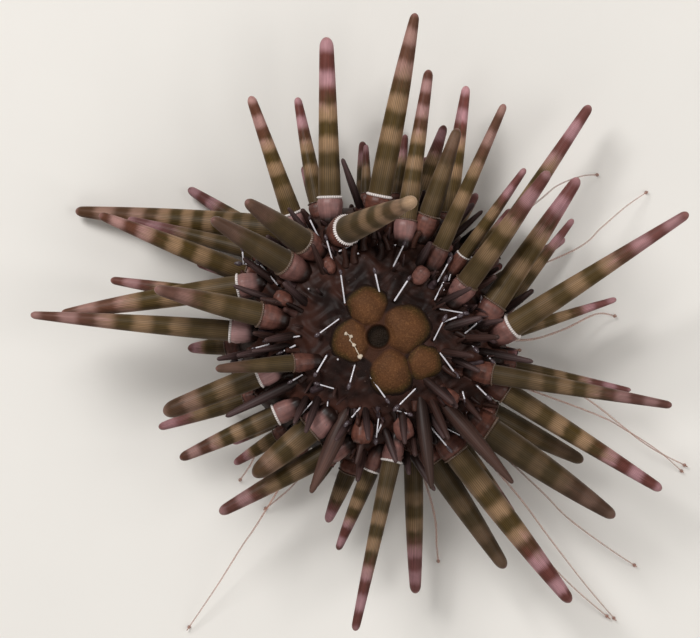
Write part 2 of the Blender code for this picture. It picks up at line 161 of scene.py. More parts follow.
# the next circle down, where x, y only give the line: the last value is the root's depth below the girth
lowerSpines = {
    "w7": (-9.8, 9.3, -26.6, 10.9, 2.6, -4, 0.7),
    "w6": (-11.6, 5.4, -24.1, 10.4, 1.95, 9, 0.7),
    "n2": (-4.75, 10.6, -6.7, 20.9, 1.6, -10, 0.3),
    "n6": (2.1, 11.3, 2.9, 17.6, 1.2, -14, 0.3),
    "n9b": (6.5, 9.8, 8.3, 21.9, 1.8, -8, 0.3),
    "n12b": (9.9, 6.2, 19.3, 20.2, 1.8, -8, 0.3),
    "n13b": (12.0, 2.6, 17.8, 10.1, 1.3, -14, 0.3),
    "n15": (13.3, 0.35, 21.6, 3.0, 1.2, -10, 0.3),
    "e3": (11.2, -2.6, 22.9, -5.1, 1.0, -10, 0.3),
    "e5": (10.1, -7.0, 18.7, -11.4, 2.3, -12, 0.3),
    "e10": (5.9, -12.1, 11.7, -20.8, 2.35, -4, 0.0),
    "s1": (3.6, -11.6, 3.8, -23.2, 1.8, -8, 2.0),
    "wc": (-7.7, -8.7, -12.3, -11.6, 1.4, -16, 0.3),
    "wg": (-9.1, -5.2, -19.0, -8.4, 1.6, -12, 0.3),
    "w4": (-11.7, 2.9, -23.3, 4.7, 1.6, -12, 0.3),
    "w7b": (-10.2, 7.1, -21.8, 10.1, 1.6, -16, 0.3),
    "w8": (-7.7, 7.3, -16.5, 12.9, 1.8, -6, 2.4),
    "n5b": (-0.6, 11.7, -0.6, 16.7, 1.0, -14, 0.5),
    "sw1": (-3.6, -10.9, -5.5, -14.0, 1.2, -14, 0.8),
}
# slender spines among them: root x, y, tip x, y, width, lift
slenderSpines = {
    "n4": (-1.1, 11.0, -2.7, 15.3, 0.9, 20),
    "n13d": (11.0, 1.6, 14.1, 3.8, 1.0, 8),
    "e1": (9.4, -1.6, 14.0, -2.5, 0.9, 14),
    "e8": (6.3, -6.3, 12.2, -13.1, 0.9, 12),
    "e11": (4.2, -6.2, 5.1, -13.6, 0.9, 14),
    "we": (-6.9, -4.35, -12.9, -7.3, 1.1, 4),
}


def shellOut(point):
    # distance out from the shell, less than nothing inside it
    rise = shell["crown"] if point.z > shell["girth"] else shell["keel"]
    offset = point - Vector((0, 0, shell["girth"]))
    scaled = Vector((offset.x / shell["halfLong"], offset.y / shell["halfWide"], offset.z / rise)).length
    return offset.length * (1 - 1 / scaled)


def zoneOf(point):
    bearing = math.degrees(math.atan2(point.y, point.x)) % 360
    if bearing < shell["zones"][0]:
        bearing += 360
    return sum(bearing >= border for border in shell["zones"][1:])


class Spine:
    def __init__(self, name, root, direction, reach, width, collar):
        self.name = name
        self.root = root
        self.direction = direction.normalized()
        self.length = reach
        self.width = width
        self.collar = collar
        self.zone = zoneOf(root)

    def at(self, along):
        return self.root + self.direction * along

    def radius(self, along):
        if along < self.collar:
            swell = along / self.collar
            return spineRule["root"] + (self.width / 2 - spineRule["root"]) * swell ** 0.7
        run = (along - self.collar) / (self.length - self.collar)
        return self.width / 2 * (0.94 - 0.5 * run ** 1.8)

    def apart(self, point):
        # distance from a point to the spine's surface
        along = min(max((point - self.root).dot(self.direction), 0), self.length)
        return (point - self.root - self.direction * along).length - self.radius(along)


def clearance(first, second):
    steps = [first.length * step / 12 for step in range(13)]
    return min(second.apart(first.at(along)) - first.radius(along) for along in steps)


def margin(spine, placed):
    least = (spine.at(spine.length).z - spine.width / 4) - spineRule["floorClear"]
    for step in (1, 2, 3, 4):
        along = spine.collar * (0.7 + 0.5 * step)
        least = min(least, shellOut(spine.at(along)) - spine.radius(along))
    for other in placed:
        need = spineRule["gapWithin"] if other.zone == spine.zone else spineRule["gapApart"]
        if (other.root - spine.root).length > other.length + spine.length:
            continue
        least = min(least, clearance(spine, other) - need, clearance(other, spine) - need)
    return least


def firstClear(make, lift, placed, must):
    best = None
    for nudge in spineRule["liftTries"]:
        spine = make(lift + nudge)
        room = margin(spine, placed)
        if room >= 0:
            return spine
        if best is None or room > best[0]:
            best = (room, spine)
    return best[1] if must else None


def sloped(plan, angle):
    slope = math.radians(angle)
    return Vector((plan.x * math.cos(slope), plan.y * math.cos(slope), math.sin(slope)))


def onBearing(degrees):
    return Vector((math.cos(math.radians(degrees)), math.sin(math.radians(degrees))))


def onShell(bearing, out, upper, lift=0.0):
    x = shell["halfLong"] * out * onBearing(bearing).x
    y = shell["halfWide"] * out * onBearing(bearing).y
    return surface(x, y, lift, upper)


def upperSpine(name, values):
    ringX, ringY, tipX, tipY, width, lift = values
    flat = Vector((tipX - ringX, tipY - ringY))
    collar = spineRule["collar"]

    def make(angle):
        direction = sloped(flat.normalized(), angle)
        root = surface(ringX - direction.x * collar, ringY - direction.y * collar)
        reach = collar + flat.length / math.cos(math.radians(angle))
        return Spine(name, root, direction, reach, width, collar)

    return make, lift


def lowerSpine(name, values):
    lineX, lineY, tipX, tipY, width, lift, depth = values
    plan = Vector((tipX - lineX, tipY - lineY)).normalized()
    back = 0
    while back < spineRule["longestLine"]:
        x = tipX - plan.x * back
        y = tipY - plan.y * back
        if outAt(x, y) <= 0.97 - 0.03 * depth:
            break
        back += spineRule["lineStep"]

    def make(angle):
        root = Vector((x, y, shell["girth"] - depth))
        reach = back / math.cos(math.radians(angle))
        return Spine(name, root, sloped(plan, angle), reach, width, spineRule["collar"] * 0.8)

    return make, lift


def slenderSpine(name, values):
    rootX, rootY, tipX, tipY, width, lift = values
    flat = Vector((tipX - rootX, tipY - rootY))

    def make(angle):
        reach = flat.length / math.cos(math.radians(angle))
        direction = sloped(flat.normalized(), angle)
        return Spine(name, surface(rootX, rootY), direction, reach, width, spineRule["smallCollar"])

    return make, lift


def propSpine(bearing):
    prop = spineRule["prop"]
    root = onShell(bearing, prop["out"], False)
    direction = sloped(onBearing(bearing), prop["lift"])
    reach = (root.z + prop["sink"]) / -direction.z
    return Spine("prop", root, direction, reach, prop["width"], prop["collar"])


def underSpine(bearing, out, plan, reach, width):
    collar = min(spineRule["collar"] * 0.7, reach * 0.3)

    def make(angle):
        root = onShell(bearing, out, False)
        return Spine("under", root, sloped(onBearing(plan), angle), reach, width, collar)

    return make


def underSpines(draw, placed):
    rule = spineRule
    leads = [spine for spine in placed if spine.length > rule["leadLength"]]
    places = [
        (circle, start, end, side)
        for circle in rule["circles"]
        for start, end in zip(shell["zones"], shell["zones"][1:])
        for side in rule["zoneSides"]
    ]
    for (out, lift, share, width), start, end, side in places:
        bearing = start + (end - start) * side + draw.uniform(-1.5, 1.5)
        here = onBearing(bearing)
        above = max(leads, key=lambda spine: here.dot(spine.at(spine.length).to_2d().normalized()))
        plan = math.degrees(math.atan2(above.direction.y, above.direction.x))
        if abs((plan - bearing + 180) % 360 - 180) > rule["mostTurn"] or out < rule["nearMouth"]:
            plan = bearing
        reach = min(above.length * share * draw.uniform(0.9, 1.1), rule["longestUnder"])
        if out < rule["nearMouth"]:
            reach = rule["shortUnder"]
        found = firstClear(underSpine(bearing, out, plan, reach, width), lift, placed, False)
        if found:
            placed.append(found)


def smallSpines(draw, placed):
    rule = smallRule
    found = []
    for tries in range(rule["tries"]):
        bearing = draw.uniform(0, 360)
        upper = draw.random() < rule["upperShare"]
        out = math.sqrt(draw.uniform(*rule["room" if upper else "roomBelow"]))
        root = onShell(bearing, out, upper)
        border = min(abs((bearing - edge + 180) % 360 - 180) for edge in shell["zones"])
        if math.radians(border) * math.hypot(root.x, root.y) < rule["fromBorder"]:
            continue
        lift = draw.uniform(*rule["lift" if upper else "liftBelow"])
        direction = sloped(onBearing(bearing + draw.uniform(-rule["turn"], rule["turn"])), lift)
        reach = draw.uniform(*rule["reach" if upper else "reachBelow"])
        spine = Spine("small", root, direction, reach, draw.uniform(*rule["width"]), spineRule["smallCollar"])
        if margin(spine, placed + found) >= rule["overlap"] and len(found) < rule["most"]:
            found.append(spine)
    return found


def allSpines():
    placed = []
    for start, end in zip(shell["zones"], shell["zones"][1:]):
        placed.append(propSpine((start + end) / 2))
    for rule, table in ((upperSpine, upperSpines), (lowerSpine, lowerSpines)):
        for name, values in table.items():
            placed.append(firstClear(*rule(name, values), placed, True))
    draw = random.Random(11)
    underSpines(draw, placed)
    for name, values in slenderSpines.items():
        found = firstClear(*slenderSpine(name, values), placed, False)
        if found:
            placed.append(found)
    return placed + smallSpines(draw, placed)


# Many small forms joined in one mesh, each with its own cell in the bake map


class Forms:
    def __init__(self, name):
        self.name = name
        self.points = []
        self.faces = []
        self.maps = []
        self.values = {}
        self.count = 0

    def add(self, points, faces, corners, **values):
        # corners holds each face corner's place in the form's own cell, 0 to 1 both ways
        self.points.append(points)
        self.faces.append(faces + self.count)
        self.maps.append(corners)
        for name in {**self.values, **values}:
            held = self.values.setdefault(name, [np.zeros(self.count)])
            held.append(np.broadcast_to(np.asarray(values.get(name, 0.0), float), (len(points),)))
        self.count += len(points)

    def build(self, material, rows=1):
        points = (np.concatenate(self.points) + np.array(middle)) * mm
        points[:, 2] = np.maximum(points[:, 2], 0)  # what stands on the floor is flat there
        mesh = bpy.data.meshes.new(self.name)
        mesh.from_pydata(points.tolist(), [], np.concatenate(self.faces).tolist())
        mesh.shade_smooth()
        columns = math.ceil(len(self.maps) / rows)
        places = []
        for number, corners in enumerate(self.maps):
            across = (number % columns + 0.08 + 0.84 * corners[..., 0]) / columns
            along = (number // columns + 0.02 + 0.96 * corners[..., 1]) / rows
            places.append(np.stack((across, along), -1).reshape(-1, 2))
        layer = mesh.uv_layers.new(name="OFBake")
        layer.data.foreach_set("uv", np.concatenate(places).astype(np.float32).ravel())
        for name, held in self.values.items():
            attribute = mesh.attributes.new(name, "FLOAT", "POINT")
            attribute.data.foreach_set("value", np.concatenate(held).astype(np.float32))
        mesh.materials.append(material)
        piece = bpy.data.objects.new(self.name, mesh)
        bpy.context.scene.collection.objects.link(piece)
        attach(piece, "root")
        return piece


def gridFaces(rings, sides):
    ring, side = np.meshgrid(np.arange(rings - 1), np.arange(sides), indexing="ij")
    following = (side + 1) % sides
    low, high = ring * sides, (ring + 1) * sides
    faces = np.stack((low + side, low + following, high + following, high + side), -1)
    places = ((0, 0), (1, 0), (1, 1), (0, 1))
    corners = [np.stack(((side + x) / sides, (ring + y) / (rings - 1)), -1) for x, y in places]
    return faces.reshape(-1, 4), np.stack(corners, -2).reshape(-1, 4, 2)


def turnedForm(forms, start, direction, reach, run, radii, sides, ribs=0, ribDepth=0.0, fade=1.0, **values):
    # A form turned round a straight axis, with lengthwise ribs: run holds shares of its reach
    side = direction.orthogonal().normalized()
    turn = np.arange(sides) / sides * 2 * math.pi
    ring = np.cos(turn)[:, None] * np.array(side) + np.sin(turn)[:, None] * np.array(direction.cross(side))
    rib = 1 + ribDepth * np.cos(turn * ribs) * np.broadcast_to(fade, run.shape)[:, None]
    axis = np.array(start) + (run * reach)[:, None] * np.array(direction)
    points = axis[:, None] + (radii[:, None] * rib)[..., None] * ring
    faces, corners = gridFaces(len(run), sides)
    values = {"along": np.clip(run, 0, 1), **values}
    for name, value in values.items():
        value = np.asarray(value, float)
        values[name] = np.repeat(value, sides) if value.ndim else value
    around = {"sideX": np.cos(turn), "sideY": np.sin(turn), "rib": 0.5 + 0.5 * np.cos(turn * ribs)}
    for name, value in around.items():
        values[name] = np.tile(value, len(run))
    forms.add(points.reshape(-1, 3), faces, corners, **values)


def smoothPath(points):
    # a curve through the waypoints
    path = []
    for number in range(len(points) - 1):
        before = points[max(number - 1, 0)]
        one, two = points[number], points[number + 1]
        after = points[min(number + 2, len(points) - 1)]
        for step in range(9):
            t = step / 9
            square = (2 * before - 5 * one + 4 * two - after) * t * t
            cube = (3 * one - before - 3 * two + after) * t ** 3
            path.append(0.5 * (2 * one + (two - before) * t + square + cube))
    return path + [points[-1]]


def bentForm(forms, path, radii, sides, **values):
    # A tube along a curved path
    turn = np.arange(sides)[:, None] / sides * 2 * math.pi
    rings = []
    side = None
    for number, point in enumerate(path):
        ahead = (path[min(number + 1, len(path) - 1)] - path[max(number - 1, 0)]).normalized()
        side = ahead.orthogonal() if side is None else side - ahead * side.dot(ahead)
        side.normalize()
        ring = np.cos(turn) * np.array(side) + np.sin(turn) * np.array(ahead.cross(side))
        rings.append(np.array(point) + radii[number] * ring)
    faces, corners = gridFaces(len(path), sides)
    along = np.repeat(np.linspace(0, 1, len(path)), sides)
    forms.add(np.concatenate(rings), faces, corners, along=along, **values)


# Materials: a name stands for the mesh's value of that name, or in a mix for the look's colour


def rgb(red, green, blue):
    # A colour as seen on a screen, 0 to 255
    return tuple((value / 255) ** 2.2 for value in (red, green, blue)) + (1.0,)


class Finish:
    def __init__(self, name, look, roughness, **sockets):
        self.material = bpy.data.materials.new(name)
        self.material.use_nodes = True
        self.tree = self.material.node_tree
        self.shader = self.tree.nodes["Principled BSDF"]
        self.shader.inputs["Roughness"].default_value = roughness
        for label, value in sockets.items():
            self.shader.inputs[label.replace("_", " ")].default_value = value
        tuples = {key: value for key, value in look.items() if isinstance(value, tuple)}
        self.colours = {key: rgb(*value) for key, value in tuples.items() if len(value) == 3}

    def node(self, kind, inputs, output, **settings):
        node = self.tree.nodes.new("ShaderNode" + kind)
        for name, value in settings.items():
            setattr(node, name, value)
        for name, value in inputs.items():
            if isinstance(value, str):
                value = self.node("Attribute", {}, "Fac", attribute_name=value)
            if isinstance(value, (int, float, tuple)):
                node.inputs[name].default_value = value
            else:
                self.tree.links.new(value, node.inputs[name])
        return node.outputs[output]

    def calc(self, operation, values):
        result = values[0]
        for value in values[1:]:
            result = self.node("Math", {0: result, 1: value}, 0, operation=operation)
        return result

    def times(self, *values):
        return self.calc("MULTIPLY", values)

    def plus(self, *values):
        return self.calc("ADD", values)

    def ramp(self, value, low, high, toLow=0.0, toHigh=1.0):
        inputs = {"Value": value, "From Min": low, "From Max": high, "To Min": toLow, "To Max": toHigh}
        return self.node("MapRange", inputs, "Result", interpolation_type="SMOOTHSTEP")

    def mix(self, share, first, second, blend="MIX"):
        inputs = {0: share, 6: self.colours.get(first, first), 7: self.colours.get(second, second)}
        return self.node("Mix", inputs, 2, data_type="RGBA", blend_type=blend)

    def layers(self, colour, *layers):
        # each layer's share and colour, laid over what is below
        for share, over in layers:
            colour = self.mix(share, colour, over)
        return colour

    def place(self):
        return self.node("TexCoord", {}, "Object")

    def noise(self, scale, detail=3.0, vector=None):
        vector = self.place() if vector is None else vector
        inputs = {"Scale": scale, "Detail": detail, "Roughness": 0.55, "Vector": vector}
        return self.node("TexNoise", inputs, "Fac")

    def cells(self, scale):
        return self.node("TexVoronoi", {"Scale": scale, "Vector": self.place()}, "Distance")

    def grain(self, across, along, apart, detail=2.0):
        # Noise that runs round a form and along it, different for each form
        lengthwise = self.plus(self.times("along", along), self.times("tone", apart))
        inputs = {0: self.times("sideX", across), 1: self.times("sideY", across), 2: lengthwise}
        return self.noise(1.0, detail, self.node("CombineXYZ", inputs, 0))

    def done(self, colour, shade=None, height=None, strength=0.2, depth=0.05):
        # the colour made lighter or darker by a shade, and fine relief of a depth in millimetres
        if shade is not None:
            grey = self.node("CombineXYZ", {0: shade, 1: shade, 2: shade}, 0)
            colour = self.mix(1.0, colour, grey, "MULTIPLY")
        self.tree.links.new(colour, self.shader.inputs["Base Color"])
        if height is not None:
            inputs = {"Strength": strength, "Distance": depth * mm, "Height": height}
            self.tree.links.new(self.node("Bump", inputs, "Normal"), self.shader.inputs["Normal"])
        return self.material


def plainMaterial(name, colour, roughness, spread=0.15, scale=900.0, **sockets):
    look = Finish(name, {"colour": colour}, roughness, **sockets)
    grain = look.noise(scale)
    return look.done("colour", look.ramp(grain, 0.25, 0.75, 1 - spread, 1 + spread), grain)


spineFinish = {
    "oliveDark": (67, 52, 21),
    "olivePale": (137, 109, 82),
    "mauveDark": (91, 50, 44),
    "mauvePale": (158, 117, 121),
    # base: the plain colour near the ring, partly the spine's own and partly painted shade from the shell and
    # the crowded spines there
    "base": (75, 60, 36),
    "tip": (138, 97, 93),
    "knob": (168, 138, 110),
    "roughness": 0.55,
    "ribDark": 0.68,
    "ribPale": 1.22,
}


def spineMaterial():
    look = Finish(
        "bandedSpine", spineFinish, spineFinish["roughness"], Specular_IOR_Level=0.18,
        Coat_Weight=0.03, Coat_Roughness=0.3, Sheen_Weight=0.14, Sheen_Tint=(1.0, 0.84, 0.74, 1.0),
    )
    streak = look.grain(9.0, 2.0, 37.0)
    cloud = look.grain(1.2, 9.0, 23.0)
    ragged = look.times(look.plus(look.times(streak, 0.7), cloud, -0.85), 0.2)
    angle = look.times(look.plus("bandTurns", ragged), 2 * math.pi)
    pale = look.ramp(look.node("Math", {0: angle}, 0, operation="COSINE"), 0.8, -0.95)
    firm = look.times("contrast", look.ramp("along", 0.05, 0.42, 0.12, 1.0))
    mauve = look.times("mauve", look.ramp(look.plus("along", ragged), 0.5, 0.75))
    dark = look.mix(mauve, "oliveDark", "mauveDark")
    faint = look.mix(mauve, "olivePale", "mauvePale")
    plain = look.mix(mauve, "base", look.mix(0.35, "mauveDark", "mauvePale"))
    tip = look.ramp("along", 0.97, 1.0, 0.0, 0.6)
    colour = look.layers(plain, (firm, look.mix(pale, dark, faint)), (tip, "tip"), ("knob", "knob"))
    shade = look.times(
        look.ramp("rib", 0.0, 1.0, spineFinish["ribDark"], spineFinish["ribPale"]),
        look.ramp(streak, 0.3, 0.75, 0.9, 1.1),
        look.ramp(cloud, 0.3, 0.7, 0.9, 1.1),
        look.plus(look.times("tone", 0.7), 0.55),
        # painted shade: the shaft darker towards the ring, where the shell and the crowded spines shade it
        look.ramp("along", 0.0, 0.55, 0.86, 1.03),
    )
    return look.done(colour, shade, streak, 0.25)


collarFinish = {
    "dark": (74, 44, 35),
    "warm": (110, 69, 57),
    "pale": (180, 140, 138),
    "deep": (44, 28, 22),
    "foot": (36, 23, 19),
}


def collarMaterial():
    gloss = {"Specular_IOR_Level": 0.2, "Coat_Weight": 0.1, "Coat_Roughness": 0.3}
    look = Finish("muscleCollar", collarFinish, 0.45, **gloss)
    fibre = look.grain(7.0, 1.5, 41.0, 3.0)
    fold = look.grain(1.0, 5.0, 29.0)
    foot = look.ramp("along", 0.35, 0.0)
    fresh = look.ramp(fold, 0.25, 0.75)
    colour = look.layers("dark", (fresh, "warm"), ("pale", "pale"), ("deep", "deep"), (foot, "foot"))
    return look.done(colour, look.ramp(fibre, 0.25, 0.8, 0.82, 1.15), look.plus(fibre, fold), 0.25, 0.08)


ringFinish = {
    "bright": (222, 212, 208),
    "dull": (96, 76, 62),
}


def ringMaterial():
    look = Finish("milledRing", ringFinish, 0.4, Coat_Weight=0.2)
    return look.done(look.mix("pale", "dull", "bright"), look.ramp("rib", 0.0, 0.8, 0.62, 1.05))


skinFinish = {
    "deep": (28, 16, 12),
    "sheen": (48, 31, 26),
    "warm": (70, 43, 35),
    "oral": (104, 80, 68),
    "speck": (120, 98, 90),
    # painted shade in the skin's pit under the anus
    "pit": (16, 11, 9),
}


def skinMaterial():
    look = Finish("darkSkin", skinFinish, 0.5, Specular_IOR_Level=0.12)
    patches = look.noise(600.0)
    colour = look.layers(
        "deep",
        (look.ramp(patches, 0.38, 0.7), "sheen"),
        (look.ramp(look.noise(330.0, 2.0), 0.48, 0.72, 0.0, 0.5), "warm"),
        (look.times("areole", 0.7), "warm"),
        (look.times("oral", 0.8), "oral"),
        (look.ramp(look.noise(3600.0), 0.7, 0.76, 0.0, 0.4), "speck"),
        # painted shade in the pit under the anus
        ("pit", "pit"),
    )
    return look.done(colour, None, look.plus(look.times(look.cells(2600.0), -0.3), patches), 0.22, 0.09)


lobeFinish = {
    "middle": (84, 55, 34),
    "edge": (58, 46, 22),
    # between: the ground's own colour between the plates, also laid as painted shade in their creases
    "between": (64, 40, 28),
    "outer": (34, 22, 18),
    "dot": (56, 34, 18),
    "grain": (120, 84, 54),
    # painted shade in the anus
    "shadedHole": (36, 26, 17),
}


def lobeMaterial():
    look = Finish("analPlates", lobeFinish, 0.7, Specular_IOR_Level=0.15)
    grain = look.cells(7500.0)
    cloud = look.noise(900.0)
    uneven = look.times(look.plus(cloud, -0.5), 0.5)
    colour = look.layers(
        "middle",
        (look.ramp(look.plus("rim", uneven), 0.55, 1.0), "edge"),
        (look.ramp(grain, 0.3, 0.1, 0.0, 0.75), "dot"),
        (look.ramp(look.noise(6500.0, 2.0), 0.5, 0.7, 0.0, 0.42), "grain"),
        # painted shade in the creases where two plates meet, and the ground's own colour where no plate rises
        ("crease", "between"),
        (look.ramp(look.plus("outside", uneven), 0.2, 0.75), "outer"),
        # painted shade in the anus
        ("shadedHole", "shadedHole"),
    )
    # painted light and shade: each plate lighter at its top and darker towards its edges
    shade = look.times(look.ramp("swell", 0.0, 0.7, 0.88, 1.08), look.ramp(cloud, 0.3, 0.7, 0.85, 1.15))
    return look.done(colour, shade, grain, 0.4, 0.04)


# Large spines

spineLook = {
    "ribPitch": 0.2,
    "ribDepth": 0.03,
    "shaftShare": 0.92,  # of the spine's width at the ring
    "usualTip": (0.4, 1.5),
    "leastTip": 0.002,
    "beadDepth": 0.045,
    # places along the collar, those below 0 in the skin, and the thickness there
    "collarProfile": (
        (-0.4, 0.02), (-0.36, 0.4), (-0.3, 0.62), (-0.2, 0.8), (0, 0.88), (0.12, 0.84), (0.4, 1.0),
        (0.75, 1.08), (0.93, 1.0), (1, 0.9),
    ),
    # first dark band from the tip and the distance between bands, in the photo's pixels
    "bands": {
        "n1": (14, 25), "n2": (14, 25.5), "n3": (24, 36.3), "n5": (7, 33.5), "n7": (4, 26),
        "n8": (11.5, 28.7), "n9b": (17, 29), "n10": (20, 33.5), "n12": (14, 36), "n12b": (12, 40),
        "n13": (15, 37), "n14": (36, 38.5), "e2": (6, 29), "e4": (15, 31), "e6": (16, 31),
        "e9": (4, 32.5), "e10": (26, 35), "s1": (4, 27), "s2": (12, 33), "s3": (20, 21), "wa": (14, 30.5),
        "wb": (8, 31), "wc": (9, 20), "wd": (28, 24), "wf": (14, 36), "w2": (19, 37.5), "w3": (48, 43),
        "w6": (3, 31), "w7": (12, 47), "w8": (21, 26),
    },
    # how much sooner the bands follow each other towards the ring
    "quicken": {"s2": 0.4, "n3": 0.29, "w7": 0.95},
    # thickness at the tip as a share of the base, and how late the taper comes
    "tips": {
        "n1": (0.42, 1.0), "n3": (0.56, 1.2), "n5": (0.34, 2.4), "n7": (0.42, 1.2), "n8": (0.4, 1.4),
        "n10": (0.4, 1.2), "n12": (0.42, 1.5), "n12b": (0.46, 1.3), "n14": (0.34, 1.2), "e2": (0.34, 1.3),
        "e4": (0.4, 1.6), "e6": (0.34, 2.2), "e9": (0.4, 2.2), "e10": (0.42, 1.6), "s1": (0.5, 2.2),
        "s2": (0.4, 1.0), "s3": (0.35, 1.6), "wa": (0.42, 1.5), "wb": (0.5, 2.0), "wd": (0.4, 1.8),
        "wf": (0.66, 1.8), "w2": (0.32, 1.7), "w3": (0.3, 2.4), "w5": (0.35, 1.8), "w6": (0.36, 1.8),
        "w7": (0.32, 2.0), "w9": (0.35, 1.6), "w10": (0.35, 1.6),
    },
    "brightRings": ("n1", "n3", "n5", "n8", "n11", "n14", "w2", "w3", "wf", "wd", "s2", "s3"),
    "paleCollars": {
        "w2": 0.9, "wf": 0.6, "n1": 0.55, "n3": 0.45, "n7": 0.35, "w3": 0.35, "wb": 0.4, "wd": 0.3,
        "w10": 0.2, "n12": 0.25, "n14": 0.2, "s2": 0.25, "wa": 0.2,
    },
    "deepCollars": {"e4": 0.6, "e6": 0.3, "s3": 0.4, "e9": 0.25, "n10": 0.3, "w1": 0.3},
    "contrast": {
        "n1": 0.95, "n3": 1.0, "n7": 0.95, "e4": 1.0, "e9": 1.0, "e2": 0.7, "s1": 0.65, "s2": 1.0,
        "s3": 1.0, "wd": 1.0, "w2": 0.8, "n9": 0.35, "n10": 0.8, "e6": 0.4, "e5": 0.25, "e10": 0.4,
        "n8": 0.8, "w9": 0.05, "w10": 0.1, "w1": 0.1, "w5": 0.35, "w3": 0.75, "w7": 0.85, "w7b": 0.5,
        "wg": 0.5, "n13": 0.8, "w4": 0.8, "w6": 1.0, "sw1": 0.1,
    },
    "mauve": {
        "n1": 0.6, "n5": 0.5, "n7": 0.7, "n8": 0.1, "n9": 0.2, "n10": 0.5, "n12": 0.9, "n14": 0.9,
        "e2": 0.7, "e5": 0.1, "e6": 0.3, "e10": 0.1, "w6": 0.6, "w1": 0.3, "w2": 0.6, "w3": 0.5,
        "w4": 0.8, "w5": 0.5, "w7": 0.35, "w9": 0.3, "w10": 0.3, "wa": 0.8, "wb": 0.2, "wd": 0.6,
        "wf": 0.3,
    },
    # how light the spine is, where the usual is 0.4 to 0.7
    "tone": {
        "n1": 1.12, "n2": 1.0, "n3": 0.95, "n5": 1.0, "n7": 0.88, "n8": 0.6, "n9": 0.6, "n9b": 1.5,
        "n10": 0.85, "n11": 0.85, "n12": 0.65, "n12b": 0.95, "n13": 0.9, "n13b": 0.9, "n14": 0.9,
        "n15": 0.85, "e2": 0.38, "e4": 0.75, "e5": 0.4, "e6": 0.12, "e9": 0.7, "e10": 0.12, "s1": 0.52,
        "s2": 0.42, "s3": 0.35, "w1": 0.42, "w2": 0.7, "w3": 0.98, "w4": 0.9, "w5": 0.66, "w6": 0.95,
        "w7": 0.7, "w8": 0.4, "w9": 0.5, "w10": 0.42, "sw1": 0.1, "wa": 0.42, "wb": 0.45, "wc": 0.8,
        "wd": 0.42, "wf": 0.32, "wg": 0.8,
    },
    "knobEnds": ("n8",),
    "knobWaist": (0.82, 0.06, 0.14),  # place along the shaft, half length, depth
}


def shaped(run, profile):
    # thickness along a form, from a profile of places and thicknesses
    return np.interp(run, *zip(*profile))


def addShaft(forms, spine, draw, ribs, rings):
    look = spineLook
    shaft = spine.length - spine.collar
    half = spine.width / 2
    tip, power = look["tips"].get(spine.name, look["usualTip"])
    cap = 1.5 * tip * half / shaft  # the share of the length that is rounded off
    rounding = 1 - cap + cap * np.sin(np.linspace(0.12, 1, 9) * math.pi / 2)
    run = np.append(np.linspace(0, 1 - cap, rings), rounding)
    radii = half * (look["shaftShare"] - (look["shaftShare"] - tip) * run ** power)
    radii = radii * np.sqrt(np.clip(1 - np.clip((run - 1 + cap) / cap, 0, 1) ** 2.2, 0, 1)) + look["leastTip"]
    knob = 0.0
    if spine.name in look["knobEnds"]:
        waist, spread, depth = look["knobWaist"]
        radii = radii * (1 - depth * np.exp(-(((run - waist) / spread) ** 2)))
        knob = smooth(0.84, 0.95, run)
    fade = smooth(0.0, 0.05, run) * (1 - smooth(1 - 1.4 * cap, 1 - 0.4 * cap, run))
    first, period = look["bands"].get(spine.name, (draw.uniform(5, 30), draw.uniform(26, 34)))
    fromTip = (1 - run) * shaft / photo["pixel"] - first
    turnedForm(
        forms, spine.at(spine.collar), spine.direction, shaft, run, radii, ribs * 2, ribs, look["ribDepth"],
        fade=fade,
        bandTurns=fromTip / period + look["quicken"].get(spine.name, 0) * (fromTip / 100) ** 2,
        contrast=look["contrast"].get(spine.name, draw.uniform(0.7, 0.95)),
        mauve=look["mauve"].get(spine.name, 1.0),
        tone=look["tone"].get(spine.name, draw.uniform(0.4, 0.7)),
        knob=knob,
    )


def addCollar(forms, spine, draw, sides):
    run = np.append(np.linspace(-0.4, -0.2, 6), np.linspace(-0.1, 1, 14))
    radii = shaped(run, spineLook["collarProfile"]) * spine.width / 2
    turnedForm(
        forms, spine.root, spine.direction, spine.collar, run, radii, sides, 9, 0.025,
        pale=spineLook["paleCollars"].get(spine.name, draw.uniform(0, 0.12)),
        deep=spineLook["deepCollars"].get(spine.name, 0),
        tone=draw.random(),
    )


def addRing(forms, spine, beads):
    half = spine.width / 2
    share = np.linspace(0, 1, 9)
    bright = float(spine.name in spineLook["brightRings"])
    swell = np.sin(share * math.pi)
    radii = half * (0.9 + 0.16 * swell ** 0.6)
    turnedForm(
        forms, spine.at(spine.collar), spine.direction, (0.2 + 0.07 * bright) * half, share - 0.45, radii,
        beads * 4, beads, spineLook["beadDepth"], fade=swell, along=share, pale=bright,
    )


def makeSpines(spines):
    draw = random.Random(5)
    spineFace = spineMaterial()
    groups = {"upperShafts": upperSpines, "lowerShafts": lowerSpines, "underShafts": ("prop", "under")}
    collars = Forms("collars")
    milled = Forms("milledRings")
    for name, members in groups.items():
        fine = name != "underShafts"
        group = [spine for spine in spines if spine.name in members]
        forms = Forms(name)
        for spine in group:
            ribs = round(math.pi * spine.width / spineLook["ribPitch"]) if fine else 24
            addShaft(forms, spine, draw, ribs, 30 if fine else 18)
            addCollar(collars, spine, draw, 36 if fine else 24)
            addRing(milled, spine, ribs if fine else 20)
        forms.build(spineFace)
        print(name, len(group))
    collars.build(collarMaterial(), 3)
    milled.build(ringMaterial(), 3)


# Small dark spines between the large ones

